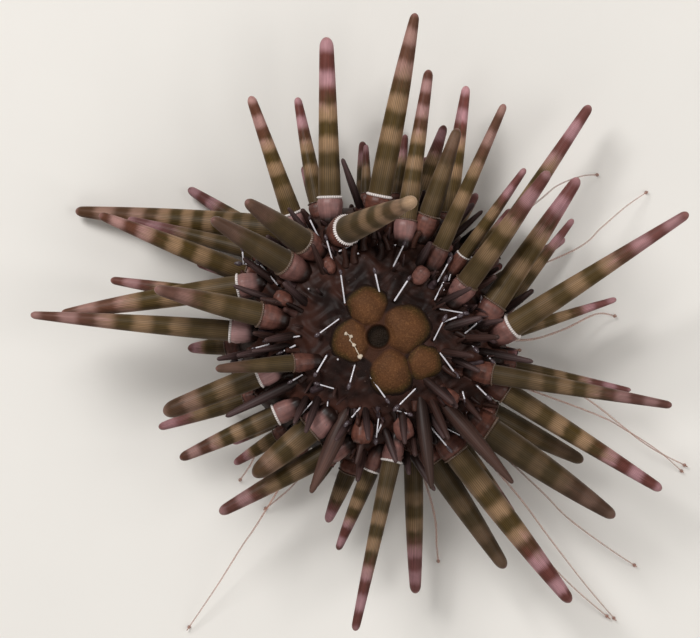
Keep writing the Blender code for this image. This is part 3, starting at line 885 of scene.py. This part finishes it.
smallLook = {
    "miliary": 110,
    "miliaryUpper": 0.7,  # share of them on the upper side
    "miliaryRoom": (0.22, 0.99),
    "miliaryLift": (25, 75),
    "miliaryReach": (0.9, 1.9),
    "miliaryWidth": (0.22, 0.36),
    "slim": 0.86,  # of the solid's width
    "dark": (38, 28, 26),
    "pale": (74, 57, 56),
    "reddish": (58, 40, 35),
    "soft": (74, 54, 47),
    # soft dark spines that taper to a point: their widest width, how light
    "pointed": {"e8": (1.45, 0.92), "e11": (1.3, 0.64)},
    # the one that lies over the others: root and tip in the photo, heights of both, width, how light
    "lying": ((346, 414), (311, 492), 11.9, 12.2, 1.55, 1.35),
    # places along the spine and the thickness there
    "bluntProfile": (
        (-0.1, 0.9), (0.03, 0.7), (0.12, 1.1), (0.18, 0.88), (0.5, 0.85), (0.94, 0.5), (1.0, 0.4),
    ),
    "pointedProfile": (
        (-0.08, 0.5), (0.05, 0.85), (0.3, 1.0), (0.55, 0.86), (0.8, 0.57), (0.93, 0.38), (0.975, 0.28),
        (0.99, 0.2), (1.0, 0.02),
    ),
}


def smallMaterial():
    look = Finish("smallSpine", smallLook, 0.5, Specular_IOR_Level=0.2)
    colour = look.layers(
        "dark",
        (look.ramp("along", 0.1, 0.95), "pale"),
        (look.ramp("tone", 0.4, 0.8, 0.0, 0.75), "reddish"),
        (look.times("soft", look.ramp("along", 0.1, 0.9, 0.35, 1.0)), "soft"),
    )
    streak = look.grain(4.0, 2.0, 31.0)
    shade = look.times("light", look.ramp(streak, 0.3, 0.7, 0.8, 1.2), look.ramp("rib", 0.0, 1.0, 0.8, 1.12))
    return look.done(colour, shade, streak, 0.3, 0.06)


def addSmall(forms, root, direction, reach, width, draw, sides=20):
    rounding = 0.94 + 0.06 * np.sin(np.linspace(0.25, 1, 4) * math.pi / 2)
    run = np.append(np.linspace(-0.1, 0.94, 12), rounding)
    cap = np.clip((run - 0.94) / 0.06, 0, 1)
    radii = width / 2 * shaped(run, smallLook["bluntProfile"]) * np.sqrt(np.clip(1 - cap ** 2, 0, 1)) + 0.002
    ribs = {"ribs": sides // 2, "ribDepth": 0.04}
    turnedForm(forms, root, direction, reach, run, radii, sides, **ribs, tone=draw.random(), light=1.0)


def addPointed(forms, root, direction, reach, width, light, draw):
    run = np.append(np.linspace(-0.08, 0.9, 16), (0.93, 0.955, 0.975, 0.99, 0.998, 1.0))
    radii = width / 2 * shaped(run, smallLook["pointedProfile"])
    values = {"tone": draw.random(), "soft": 1.0, "light": light}
    turnedForm(forms, root, direction, reach, run, radii, 40, 20, 0.012, **values)


def taken(root, large, room):
    return onPlates(root.x, root.y) or any((root - spine.root).length < room for spine in large)


def inSpine(point, large):
    return any(spine.apart(point) < 0.15 for spine in large)


def makeSmallSpines(spines):
    draw = random.Random(8)
    face = smallMaterial()
    forms = Forms("smallSpines")
    for spine in spines:
        if spine.name in smallLook["pointed"]:
            width, light = smallLook["pointed"][spine.name]
            addPointed(forms, spine.root, spine.direction, spine.length, width, light, draw)
        elif spine.name == "small" or spine.name in slenderSpines:
            addSmall(forms, spine.root, spine.direction, spine.length, spine.width * smallLook["slim"], draw)
    first, last, low, high, width, light = smallLook["lying"]
    root = Vector((*fromPhoto(*first), low))
    reach = Vector((*fromPhoto(*last), high)) - root
    addPointed(forms, root, reach.normalized(), reach.length, width, light, draw)
    forms.build(face, 2)
    large = [spine for spine in spines if spine.name != "small"]
    fine = Forms("miliarySpines")
    made = 0
    while made < smallLook["miliary"]:
        turn = draw.uniform(0, 360)
        out = math.sqrt(draw.uniform(*smallLook["miliaryRoom"]))
        upper = draw.random() < smallLook["miliaryUpper"]
        root = onShell(turn, out, upper)
        if taken(root, large, 0.6):
            continue
        lift = draw.uniform(*smallLook["miliaryLift"]) * (1 if upper else -1)
        direction = sloped(onBearing(turn + draw.uniform(-40, 40)), lift)
        reach = draw.uniform(*smallLook["miliaryReach"])
        if inSpine(root + direction * reach, large):
            continue
        addSmall(fine, root, direction, reach, draw.uniform(*smallLook["miliaryWidth"]), draw, 9)
        made += 1
    fine.build(face, 4)
    print("small spines", made)


# Muscle knobs whose spines are out of sight, and the dark soft stalks between the spines

tissueLook = {
    # x, y and half width in the photo's pixels
    "knobs": (
        (418, 278, 8), (447, 395, 8), (402, 424, 10), (363, 426, 11), (441, 252, 8), (286, 300, 8),
        (330, 268, 7),
    ),
    "knobProfile": ((0, 0.02), (0.08, 0.5), (0.25, 0.85), (0.5, 1.0), (0.8, 0.95), (0.93, 0.75), (1, 0.02)),
    "stalks": 130,
    "upperShare": 0.8,
    "lift": (5, 45),
    "stalkProfile": (
        (0, 1.3), (0.15, 1.1), (0.3, 0.95), (0.45, 0.85), (0.6, 0.82), (0.75, 0.84), (0.83, 0.84),
        (0.9, 0.76), (0.96, 0.58), (0.99, 0.36), (1.0, 0.02),
    ),
    "thick": (0.2, 0.36),
    "reach": (0.7, 1.9),
    "dark": (30, 19, 16),
    "pale": (66, 43, 36),
    "violet": (56, 44, 46),
}


def stalkMaterial():
    look = Finish("softStalk", tissueLook, 0.5, Specular_IOR_Level=0.15)
    colour = look.layers(
        "dark", (look.ramp("tone", 0.1, 0.7), "pale"), (look.ramp("tone", 0.7, 0.9), "violet"),
    )
    return look.done(colour, look.ramp(look.noise(1500.0), 0.3, 0.7, 0.75, 1.25))


def makeKnobs(draw):
    knobs = Forms("knobs")
    share = np.linspace(0, 1, 16)
    for px, py, size in tissueLook["knobs"]:
        place = fromPhoto(px, py)
        half = size * photo["pixel"]
        direction = sloped(place.normalized(), 12)
        start = surface(*place, half * 0.45) - direction * half
        radii = shaped(share, tissueLook["knobProfile"]) * half
        turnedForm(
            knobs, start, direction, 2.6 * half, share, radii, 32, 9, 0.02,
            along=0.25 + 0.75 * share, tone=draw.random(), pale=draw.uniform(0, 0.15),
        )
    knobs.build(collarMaterial())


def makeTissue(spines):
    draw = random.Random(17)
    makeKnobs(draw)
    stalks = Forms("softStalks")
    large = [spine for spine in spines if spine.name != "small"]
    steps, widths = zip(*tissueLook["stalkProfile"])
    made = 0
    while made < tissueLook["stalks"]:
        turn = draw.uniform(0, 360)
        upper = draw.random() < tissueLook["upperShare"]
        out = math.sqrt(draw.uniform(0.3 if upper else 0.4, 0.99))
        root = onShell(turn, out, upper, -0.1)
        if taken(root, large, 0.5):
            continue
        reach = draw.uniform(*tissueLook["reach"])
        lift = draw.uniform(*tissueLook["lift"]) * (1 if upper else -1)
        first = sloped(onBearing(turn + draw.uniform(-30, 30)), lift)
        second = sloped(onBearing(turn + draw.uniform(-40, 40)), lift * draw.uniform(0.2, 1.0))
        thick = draw.uniform(*tissueLook["thick"])
        path = [root + first * reach * step + (second - first) * reach * step ** 2 * 0.5 for step in steps]
        if inSpine(path[4], large) or inSpine(path[-1], large):
            continue
        bentForm(stalks, path, [thick * width for width in widths], 10, tone=draw.random())
        made += 1
    stalks.build(stalkMaterial(), 6)
    print("tissue", made)


# Skin of the whole shell

skinLook = {
    "around": 400,
    "down": 225,
    "areoleHeight": 0.22,
    "lumpHeight": 0.08,
    "waveHeight": 0.05,
    "mouthFold": 0.12,
    "foldsApart": 7.0,
    "mouthRim": 0.4,
    "sunk": 0.06,  # below the shell's smooth form
    "pitDepth": 1.1,  # under the anus
}


def makeSkin(spines):
    look = skinLook
    turn = np.arange(look["around"]) / look["around"] * 2 * math.pi
    share = np.linspace(0, 1, look["down"])[:, None]
    out = np.sin(share * math.pi) ** 0.9
    upper = share < 0.5
    x = out * np.cos(turn) * shell["halfLong"]
    y = out * np.sin(turn) * shell["halfWide"]
    z = np.where(upper, riseAt(out, True), riseAt(out, False)) + np.zeros(x.shape)
    points = np.stack((x, y, z), -1)
    # outward normals from the oval of the shell
    rise = np.where(upper, shell["crown"], shell["keel"])
    plane = (x / shell["halfLong"] ** 2, y / shell["halfWide"] ** 2)
    normal = np.stack((*plane, (z - shell["girth"]) / rise ** 2), -1)
    normal /= np.linalg.norm(normal, axis=-1, keepdims=True) + 1e-9
    lift = areole = np.zeros(x.shape)
    for spine in spines:
        width = spine.width * (0.75 if spine.name != "small" else 0.8)
        near = (np.linalg.norm(points - np.array(spine.root), axis=-1) / width) ** 2
        lift = np.maximum(lift, np.exp(-near * 1.3) * look["areoleHeight"] * min(1.0, spine.width))
        areole = np.maximum(areole, np.exp(-near * 1.8))
    lumps = np.sin(x * 3.3 + 1.7 * np.sin(y * 1.9)) * np.sin(y * 3.7 + 1.5 * np.sin(x * 2.1))
    wave = np.sin(x * 3.1 + 1.3 * np.sin(y * 2.3)) * np.sin(y * 3.7 + z * 2.9)
    relief = look["lumpHeight"] * lumps + look["waveHeight"] * wave
    mouth = np.hypot(x, y)
    oral = (1 - smooth(shell["mouth"] - look["mouthRim"], shell["mouth"], mouth)) * ~upper
    folds = look["mouthFold"] * np.sin(mouth * look["foldsApart"]) * oral
    anus = fromPhoto(*plateLook["anus"])
    # the pit under the anus: sunk, and coloured with painted shade
    pit = (1 - smooth(0.75, 1.15, np.hypot(x - anus.x, y - anus.y))) * upper
    points = points + normal * (lift + relief - look["sunk"] - folds)[..., None]
    points[..., 2] -= pit * look["pitDepth"]
    faces, corners = gridFaces(look["down"], look["around"])
    forms = Forms("skin")
    values = {"areole": areole.ravel(), "oral": oral.ravel(), "pit": pit.ravel()}
    forms.add(points.reshape(-1, 3), faces[:, ::-1], corners[:, ::-1], **values)
    skin = forms.build(skinMaterial())
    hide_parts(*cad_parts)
    print("skin")


# The five swollen plates round the anus: x, y in the photo, half widths in mm, height

plateLook = {
    "plates": (
        (367, 306, 1.8, 1.82, 0.78),
        (405.5, 328.5, 2.1, 2.2, 0.86),
        (423, 362, 1.62, 1.6, 0.66),
        (391, 372, 1.95, 2.08, 0.84),
        (351, 340.5, 1.72, 1.95, 0.74),
    ),
    "anus": (378, 336.5),
    "anusRadius": 0.98,
    "anusDepth": 0.55,
    "crumbs": (
        (346, 333, 0.2), (351, 336, 0.18), (350, 340, 0.1), (354, 345, 0.19), (357, 351, 0.07),
        (360, 356, 0.25),
    ),
    "base": (0.9, -0.55, 3.5),  # centre and half width of the ground below them
    "baseHeight": 0.12,
    "domePower": 2.2,
    "creaseDepth": 0.07,
    "lipHeight": 0.1,
    "lowest": -0.35,  # of the surface that is kept, below the shell
    "spanX": (-4.3, 6.6),
    "spanY": (-5.8, 4.9),
    "step": 0.055,
}


def onPlates(x, y):
    for px, py, wide, tall, height in plateLook["plates"]:
        place = fromPhoto(px, py)
        if math.hypot((x - place.x) / wide, (y - place.y) / tall) < 1.1:
            return True
    return False


def makeAnalPlates():
    look = plateLook
    xs = np.arange(*look["spanX"], look["step"])
    ys = np.arange(*look["spanY"], look["step"])
    x, y = np.meshgrid(xs, ys, indexing="ij")
    baseX, baseY, baseWide = look["base"]
    fromBase = np.hypot(x - baseX, y - baseY)
    flat = look["baseHeight"] * (1 - (fromBase / baseWide) ** 4)
    top = flat
    highest = second = -9.0
    swell = 0.0
    rim = 1.0
    outside = 9.0
    for number, (px, py, wide, tall, height) in enumerate(look["plates"]):
        place = fromPhoto(px, py)
        offX, offY = x - place.x, y - place.y
        bearing = np.arctan2(offY, offX)
        waver = 1 + 0.04 * np.sin(3 * bearing + number) + 0.03 * np.sin(5 * bearing + 2 * number)
        far = np.hypot(offX / wide, offY / tall) / waver
        dome = height * (1 - np.clip(far, 0, 1.35) ** look["domePower"])
        second = np.maximum(second, np.minimum(top, dome))
        rim = np.where(dome > top, far, rim)
        # swell: how near its plate's top a point lies, for the painted light and shade on the plates
        swell = np.where(dome > top, 1 - far, swell)
        highest = np.maximum(highest, dome)
        outside = np.minimum(outside, far)
        top = np.maximum(top, dome)
    anus = fromPhoto(*look["anus"])
    fromAnus = np.hypot(x - anus.x, y - anus.y)
    radius = look["anusRadius"]
    # the anus: sunk, and coloured with painted shade
    shadedHole = 1 - smooth(radius - 0.12, radius + 0.1, fromAnus)
    lip = np.exp(-(((fromAnus - radius - 0.16) / 0.12) ** 2))
    # the creases where two plates meet, which are sunk and coloured with painted shade, and the ground where
    # no plate rises
    crease = (1 - smooth(0.0, 0.3, top - second)) * smooth(0.0, 0.2, second)
    crease = np.maximum(crease, smooth(-0.1, 0.04, flat - highest))
    rim = rim * smooth(1.7, 3.4, fromAnus)
    top = top * (1 - 0.5 * (1 - smooth(1.0, 1.5, fromAnus))) + look["lipHeight"] * lip
    # past the plates' outline the surface takes on the skin's colour, but not between plates and anus
    outside = smooth(0.68, 1.2, outside) * smooth(1.9, 2.6, fromBase)
    grain = 0.02 * np.sin(x * 21 + 2 * np.sin(y * 9)) * np.sin(y * 23 + 2 * np.sin(x * 11))
    floorGrain = 0.06 * np.sin(x * 17 + 3 * np.sin(y * 11)) * np.sin(y * 19 + 2 * np.sin(x * 13))
    ground = riseAt(np.hypot(x / shell["halfLong"], y / shell["halfWide"]), True)
    depth = look["creaseDepth"] * crease + shadedHole * (look["anusDepth"] + top * 0.5 + floorGrain)
    z = ground + 0.02 + top + grain - depth
    keep = top > look["lowest"]
    index = -np.ones(x.shape, int)
    index[keep] = np.arange(keep.sum())
    faces = np.stack((index[:-1, :-1], index[1:, :-1], index[1:, 1:], index[:-1, 1:]), -1)
    faces = faces[(faces >= 0).all(axis=-1)]
    uv = np.stack(((x - xs[0]) / (xs[-1] - xs[0]), (y - ys[0]) / (ys[-1] - ys[0])), -1)[keep]
    points = np.stack((x[keep], y[keep], z[keep]), -1)
    values = {"rim": rim, "crease": crease, "shadedHole": shadedHole, "outside": outside, "swell": swell}
    forms = Forms("analPlates")
    forms.add(points, faces, uv[faces], **{name: value[keep] for name, value in values.items()})
    forms.build(lobeMaterial())
    makeCrumbs(points)
    print("anal plates")


def addBlob(forms, start, direction, reach, thick, sides=9, steps=7, least=0.01, **values):
    share = np.linspace(0, 1, steps)
    radii = least + thick * np.sin(share * math.pi) ** 0.6
    turnedForm(forms, start, direction, reach, share, radii, sides, **values)


def makeCrumbs(points):
    # grains of sand on a thread, lying on the plates' points
    crumbs = Forms("crumbs")
    draw = random.Random(4)
    path = []
    for px, py, size in plateLook["crumbs"]:
        place = fromPhoto(px, py)
        near = np.argmin(np.hypot(points[:, 0] - place.x, points[:, 1] - place.y))
        path.append(Vector((place.x, place.y, points[near, 2] + size * 0.5)))
        for blob in range(3):
            aim = Vector((draw.uniform(-1, 1), draw.uniform(-1, 1), draw.uniform(-0.3, 0.6))).normalized()
            start = path[-1] - aim * size * draw.uniform(0.6, 1.3)
            addBlob(crumbs, start, aim, 1.8 * size, size * draw.uniform(0.5, 0.8), 8, ribs=3, ribDepth=0.2)
    bentForm(crumbs, path, [0.045] * len(path), 6)
    crumbs.build(plainMaterial("sandCrumb", (200, 184, 164), 0.6, 0.2))


# Pedicellariae: their white rods as they lie in the photo, start and end of each

rodLook = {
    "thick": 0.075,
    "rise": 0.9,
    "stemThick": (0.14, 0.12, 0.1),
    "headLength": 0.75,
    "headThick": 0.17,
    "footOut": 0.96,  # the share of the way out past which a rod's foot is moved in
    "rodProfile": (
        (-0.03, 0.05), (0.0, 0.7), (0.04, 1.0), (0.3, 0.85), (0.7, 0.85), (0.94, 1.0), (1.0, 0.7),
        (1.03, 0.05),
    ),
    "rods": (
        (327, 241, 334, 266), (341, 275, 345, 304), (375, 274, 380, 296), (403, 246, 393, 267),
        (407, 281, 394, 301), (394, 246, 404, 241), (350, 246, 339, 252), (431, 245, 446, 253),
        (461, 251, 472, 258), (447, 264, 437, 282), (455, 258, 448, 281), (443, 282, 434, 300),
        (439, 309, 462, 313), (442, 322, 433, 340), (442, 322, 456, 317), (476, 323, 461, 336),
        (469, 342, 473, 347), (481, 349, 490, 359), (439, 352, 453, 371), (427, 383, 433, 389),
        (476, 385, 486, 395), (462, 391, 464, 399), (466, 412, 464, 418), (415, 388, 399, 404),
        (394, 409, 407, 413), (370, 376, 385, 397), (355, 364, 350, 382), (327, 355, 317, 372),
        (339, 319, 320, 333), (300, 336, 272, 340), (296, 345, 284, 351), (286, 258, 295, 280),
        (243, 252, 244, 263), (243, 264, 261, 265), (261, 265, 278, 285), (320, 384, 334, 388),
        (315, 399, 299, 416), (328, 401, 326, 420), (360, 407, 349, 420), (379, 412, 376, 437),
        (383, 420, 377, 432), (338, 432, 331, 438), (434, 413, 439, 424), (429, 425, 446, 445),
        (444, 427, 460, 435), (443, 432, 447, 443), (303, 374, 293, 380), (310, 220, 320, 240),
        (270, 344, 256, 348), (294, 424, 297, 430), (480, 301, 479, 317), (428, 229, 435, 225),
    ),
    "specks": (
        (358, 254), (383, 250), (378, 245), (309, 289), (296, 293), (338, 359), (443, 290), (474, 343),
        (503, 389), (458, 377),
    ),
    "unseen": 70,
}


def addRod(forms, heads, start, end, draw):
    direction = (end - start).normalized()
    run, shape = np.array(rodLook["rodProfile"]).T
    thick = rodLook["thick"] * draw.uniform(0.85, 1.15)
    turnedForm(forms, start, direction, (end - start).length, run, shape * thick, 8)
    thick = rodLook["headThick"] * draw.uniform(0.8, 1.2)
    reach = rodLook["headLength"] * draw.uniform(0.7, 1.2)
    addBlob(heads, end - direction * 0.05, direction, reach, thick, 9, 8, 0.02, tone=draw.random())


def makePedicellariae():
    draw = random.Random(21)
    forms = Forms("rods")
    heads = Forms("pedicellariaHeads")
    stems = Forms("pedicellariaStems")
    for startX, startY, endX, endY in rodLook["rods"]:
        ends = (fromPhoto(startX, startY), fromPhoto(endX, endY))
        inner, outer = sorted(ends, key=lambda spot: spot.length)
        out = outAt(*inner)
        ground = inner * min(1.0, rodLook["footOut"] / out)
        lift = 0.0 if out < rodLook["footOut"] else 1.2
        if not onPlates(*inner):
            lift += 0.25
        start = Vector((*inner, surface(*ground, lift).z))
        high = max(surface(*outer).z, start.z - 0.6) + draw.uniform(0.5, rodLook["rise"])
        foot = Vector((*ground * 0.97, surface(*ground, -0.1).z))
        bend = (foot + start) / 2 + Vector((0, 0, 0.1))
        bentForm(stems, [foot, bend, start], rodLook["stemThick"], 8, tone=draw.random())
        addRod(forms, heads, start, Vector((*outer, high)), draw)
    stems.build(bpy.data.materials["softStalk"], 3)
    for number in range(rodLook["unseen"]):
        turn = draw.uniform(0, 360)
        start = onShell(turn, draw.uniform(0.6, 0.97), False, -0.1)
        aim = sloped(onBearing(turn), draw.uniform(-60, -10))
        addRod(forms, heads, start, start + aim * draw.uniform(0.9, 1.6), draw)
    for x, y in rodLook["specks"]:
        spot = fromPhoto(x, y)
        place = Vector((*spot, max(surface(*spot).z, 7) + 0.3))
        addBlob(forms, place, Vector((0, 0, 1)), 0.18, 0.08)
    forms.build(plainMaterial("whiteRod", (206, 202, 207), 0.35, 0.08, Coat_Weight=0.3), 5)
    heads.build(plainMaterial("pedicellariaHead", (70, 58, 62), 0.4, 0.2, Coat_Weight=0.2), 5)
    print("pedicellariae")


# Tube feet: waypoints in the photo, the last one is the sucker

feetLook = {
    "thick": 0.085,
    "sucker": 0.17,
    "bend": 0.18,  # height where the last stretch turns down
    "startOut": 10.5,
    "startHeight": 6.4,
    "firstHeight": 5.0,  # of the first waypoint over the last
    "colour": (176, 124, 104),
    "end": (150, 98, 84),
    # waypoints, then how many times as thick
    "seen": (
        ((530, 340), (565, 330), (600, 314), (620, 316), 1.0),
        ((540, 376), (590, 400), (650, 446), (691, 468), 0.9),
        ((595, 414), (630, 432), (662, 452), (688, 474), 0.7),
        ((470, 470), (520, 530), (570, 585), (612, 622), 0.9),
        ((515, 492), (555, 545), (590, 590), (619, 624), 0.8),
        ((540, 490), (570, 520), (610, 550), (640, 570), 0.8),
        ((280, 430), (262, 440), (250, 465), (238, 483), 1.0),
        ((335, 435), (315, 460), (290, 490), (264, 512), 1.0),
        ((260, 520), (240, 550), (215, 590), (186, 633), 0.8),
        ((425, 480), (436, 520), (438, 548), (440, 566), 1.0),
        ((540, 200), (560, 184), (585, 174), (602, 172), 0.8),
        ((575, 250), (605, 226), (630, 205), (652, 190), 0.7),
    ),
    "unseen": 40,
}


def tubeFootMaterial():
    look = Finish("tubeFoot", feetLook, 0.3, Alpha=0.42, Coat_Weight=0.3)
    colour = look.mix(look.ramp("along", 0.85, 1.0), "colour", "end")
    return look.done(colour, look.ramp(look.noise(1800.0), 0.3, 0.7, 0.85, 1.15))


def addFoot(forms, points, stout=1.0):
    # thick at the body, its last stretch bent down to a flat sucker on the floor
    ground = Vector((points[-1].x, points[-1].y, feetLook["bend"]))
    path = smoothPath(points + [ground])
    share = np.linspace(0, 1, len(path))
    radii = feetLook["thick"] * stout * (1.3 - 0.7 * share) * (1 + 0.03 * np.sin(share * 60))
    path += [ground - Vector((0, 0, drop)) for drop in (0.06, 0.16, 0.17)]
    bentForm(forms, path, [*radii, feetLook["sucker"], feetLook["sucker"] * 0.95, 0.01], 10)


def makeTubeFeet():
    draw = random.Random(3)
    forms = Forms("tubeFeet")
    for *waypoints, stout in feetLook["seen"]:
        spots = [fromPhoto(x, y) for x, y in waypoints]
        points = [Vector((*spots[0].normalized() * feetLook["startOut"], feetLook["startHeight"]))]
        for number, spot in enumerate(spots):
            height = feetLook["firstHeight"] * (1 - number / (len(spots) - 1)) ** 1.2 + 0.5
            points.append(Vector((*spot, height)))
        addFoot(forms, points, stout)
    for number in range(feetLook["unseen"]):
        turn = draw.uniform(0, 360)
        spot = onBearing(turn)
        start = onShell(turn, draw.uniform(0.45, 0.95), False)
        foot = start + Vector((*spot, 0)) * draw.uniform(1.5, 5.0)
        foot.z = 0.35
        addFoot(forms, [start, (start + foot) / 2 + Vector((*spot, -0.6)) * 0.5, foot])
    forms.build(tubeFootMaterial(), 2)
    print("tube feet")


# Mouth: five tooth tips

toothLook = {
    "reach": 1.1,
    "out": 0.95,
    "width": 0.75,
    "first": 18,  # bearing of the first tooth
    "inward": 0.55,  # how far each leans in for its drop
}


def makeTeeth():
    look = toothLook
    forms = Forms("teeth")
    height = surface(shell["mouth"], 0, 0.1, False).z
    share = np.linspace(0, 1, 10)
    radii = np.append(look["width"] / 2 * (1 - 0.75 * share ** 2)[:-1], 0.02)
    for number in range(5):
        spot = onBearing(72 * number + look["first"])
        aim = Vector((*spot * -look["inward"], -1)).normalized()
        start = Vector((*spot * look["out"], height)) - aim * 0.3
        turnedForm(forms, start, aim, look["reach"], share, radii, 16)
    forms.build(plainMaterial("tooth", (226, 218, 204), 0.3, 0.06))
    print("teeth")


# Floor, light and camera

stageLook = {
    "floor": (226, 222, 216),
    "floorSize": 3.0,  # metres
    "cameraHeight": 450.0,  # above the large spines
    "largeSpines": 9.0,
    "filmWidth": 36,
    "lights": (  # place in metres, size, watts
        ((-0.22, 0.26, 0.42), 0.2, 2.2),
        ((0.30, -0.05, 0.38), 0.25, 0.75),
        ((-0.05, -0.32, 0.30), 0.3, 0.35),
    ),
    "world": 0.2,
    "worldColour": (1.0, 0.97, 0.92, 1.0),
}


def makeStage():
    look = stageLook
    scene = bpy.context.scene
    bpy.ops.mesh.primitive_plane_add(size=look["floorSize"], location=(0, 0, -0.00005))
    floor = bpy.context.object
    floor.name = "floor"
    floor.data.materials.append(plainMaterial("paleFloor", look["floor"], 0.9, 0.01, 60.0))
    for number, (place, size, watts) in enumerate(look["lights"]):
        lamp = bpy.data.lights.new(f"softLight{number}", "AREA")
        lamp.size = size
        lamp.energy = watts
        item = bpy.data.objects.new(lamp.name, lamp)
        item.location = place
        item.rotation_euler = (-Vector(place)).to_track_quat("-Z", "Y").to_euler()
        scene.collection.objects.link(item)
    scene.world = bpy.data.worlds.new("studio")
    scene.world.use_nodes = True
    background = scene.world.node_tree.nodes["Background"].inputs
    background["Color"].default_value = look["worldColour"]
    background["Strength"].default_value = look["world"]
    scene.view_settings.view_transform = "Standard"
    centre = fromPhoto(photo["width"] / 2, photo["height"] / 2)
    camera = bpy.data.objects.new("camera", bpy.data.cameras.new("camera"))
    camera.location = (Vector((*centre, look["largeSpines"] + look["cameraHeight"])) + middle) * mm
    camera.data.sensor_width = look["filmWidth"]
    camera.data.lens = look["filmWidth"] * look["cameraHeight"] / (photo["width"] * photo["pixel"])
    camera.data.clip_start = 0.01
    camera.data.clip_end = 10
    scene.collection.objects.link(camera)
    scene.camera = camera
    print("stage")


spines = allSpines()
print("spines laid out", len(spines))
makeSkin(spines)
makeAnalPlates()
makeSpines(spines)
makeSmallSpines(spines)
makeTissue(spines)
makePedicellariae()
makeTubeFeet()
makeTeeth()
makeStage()
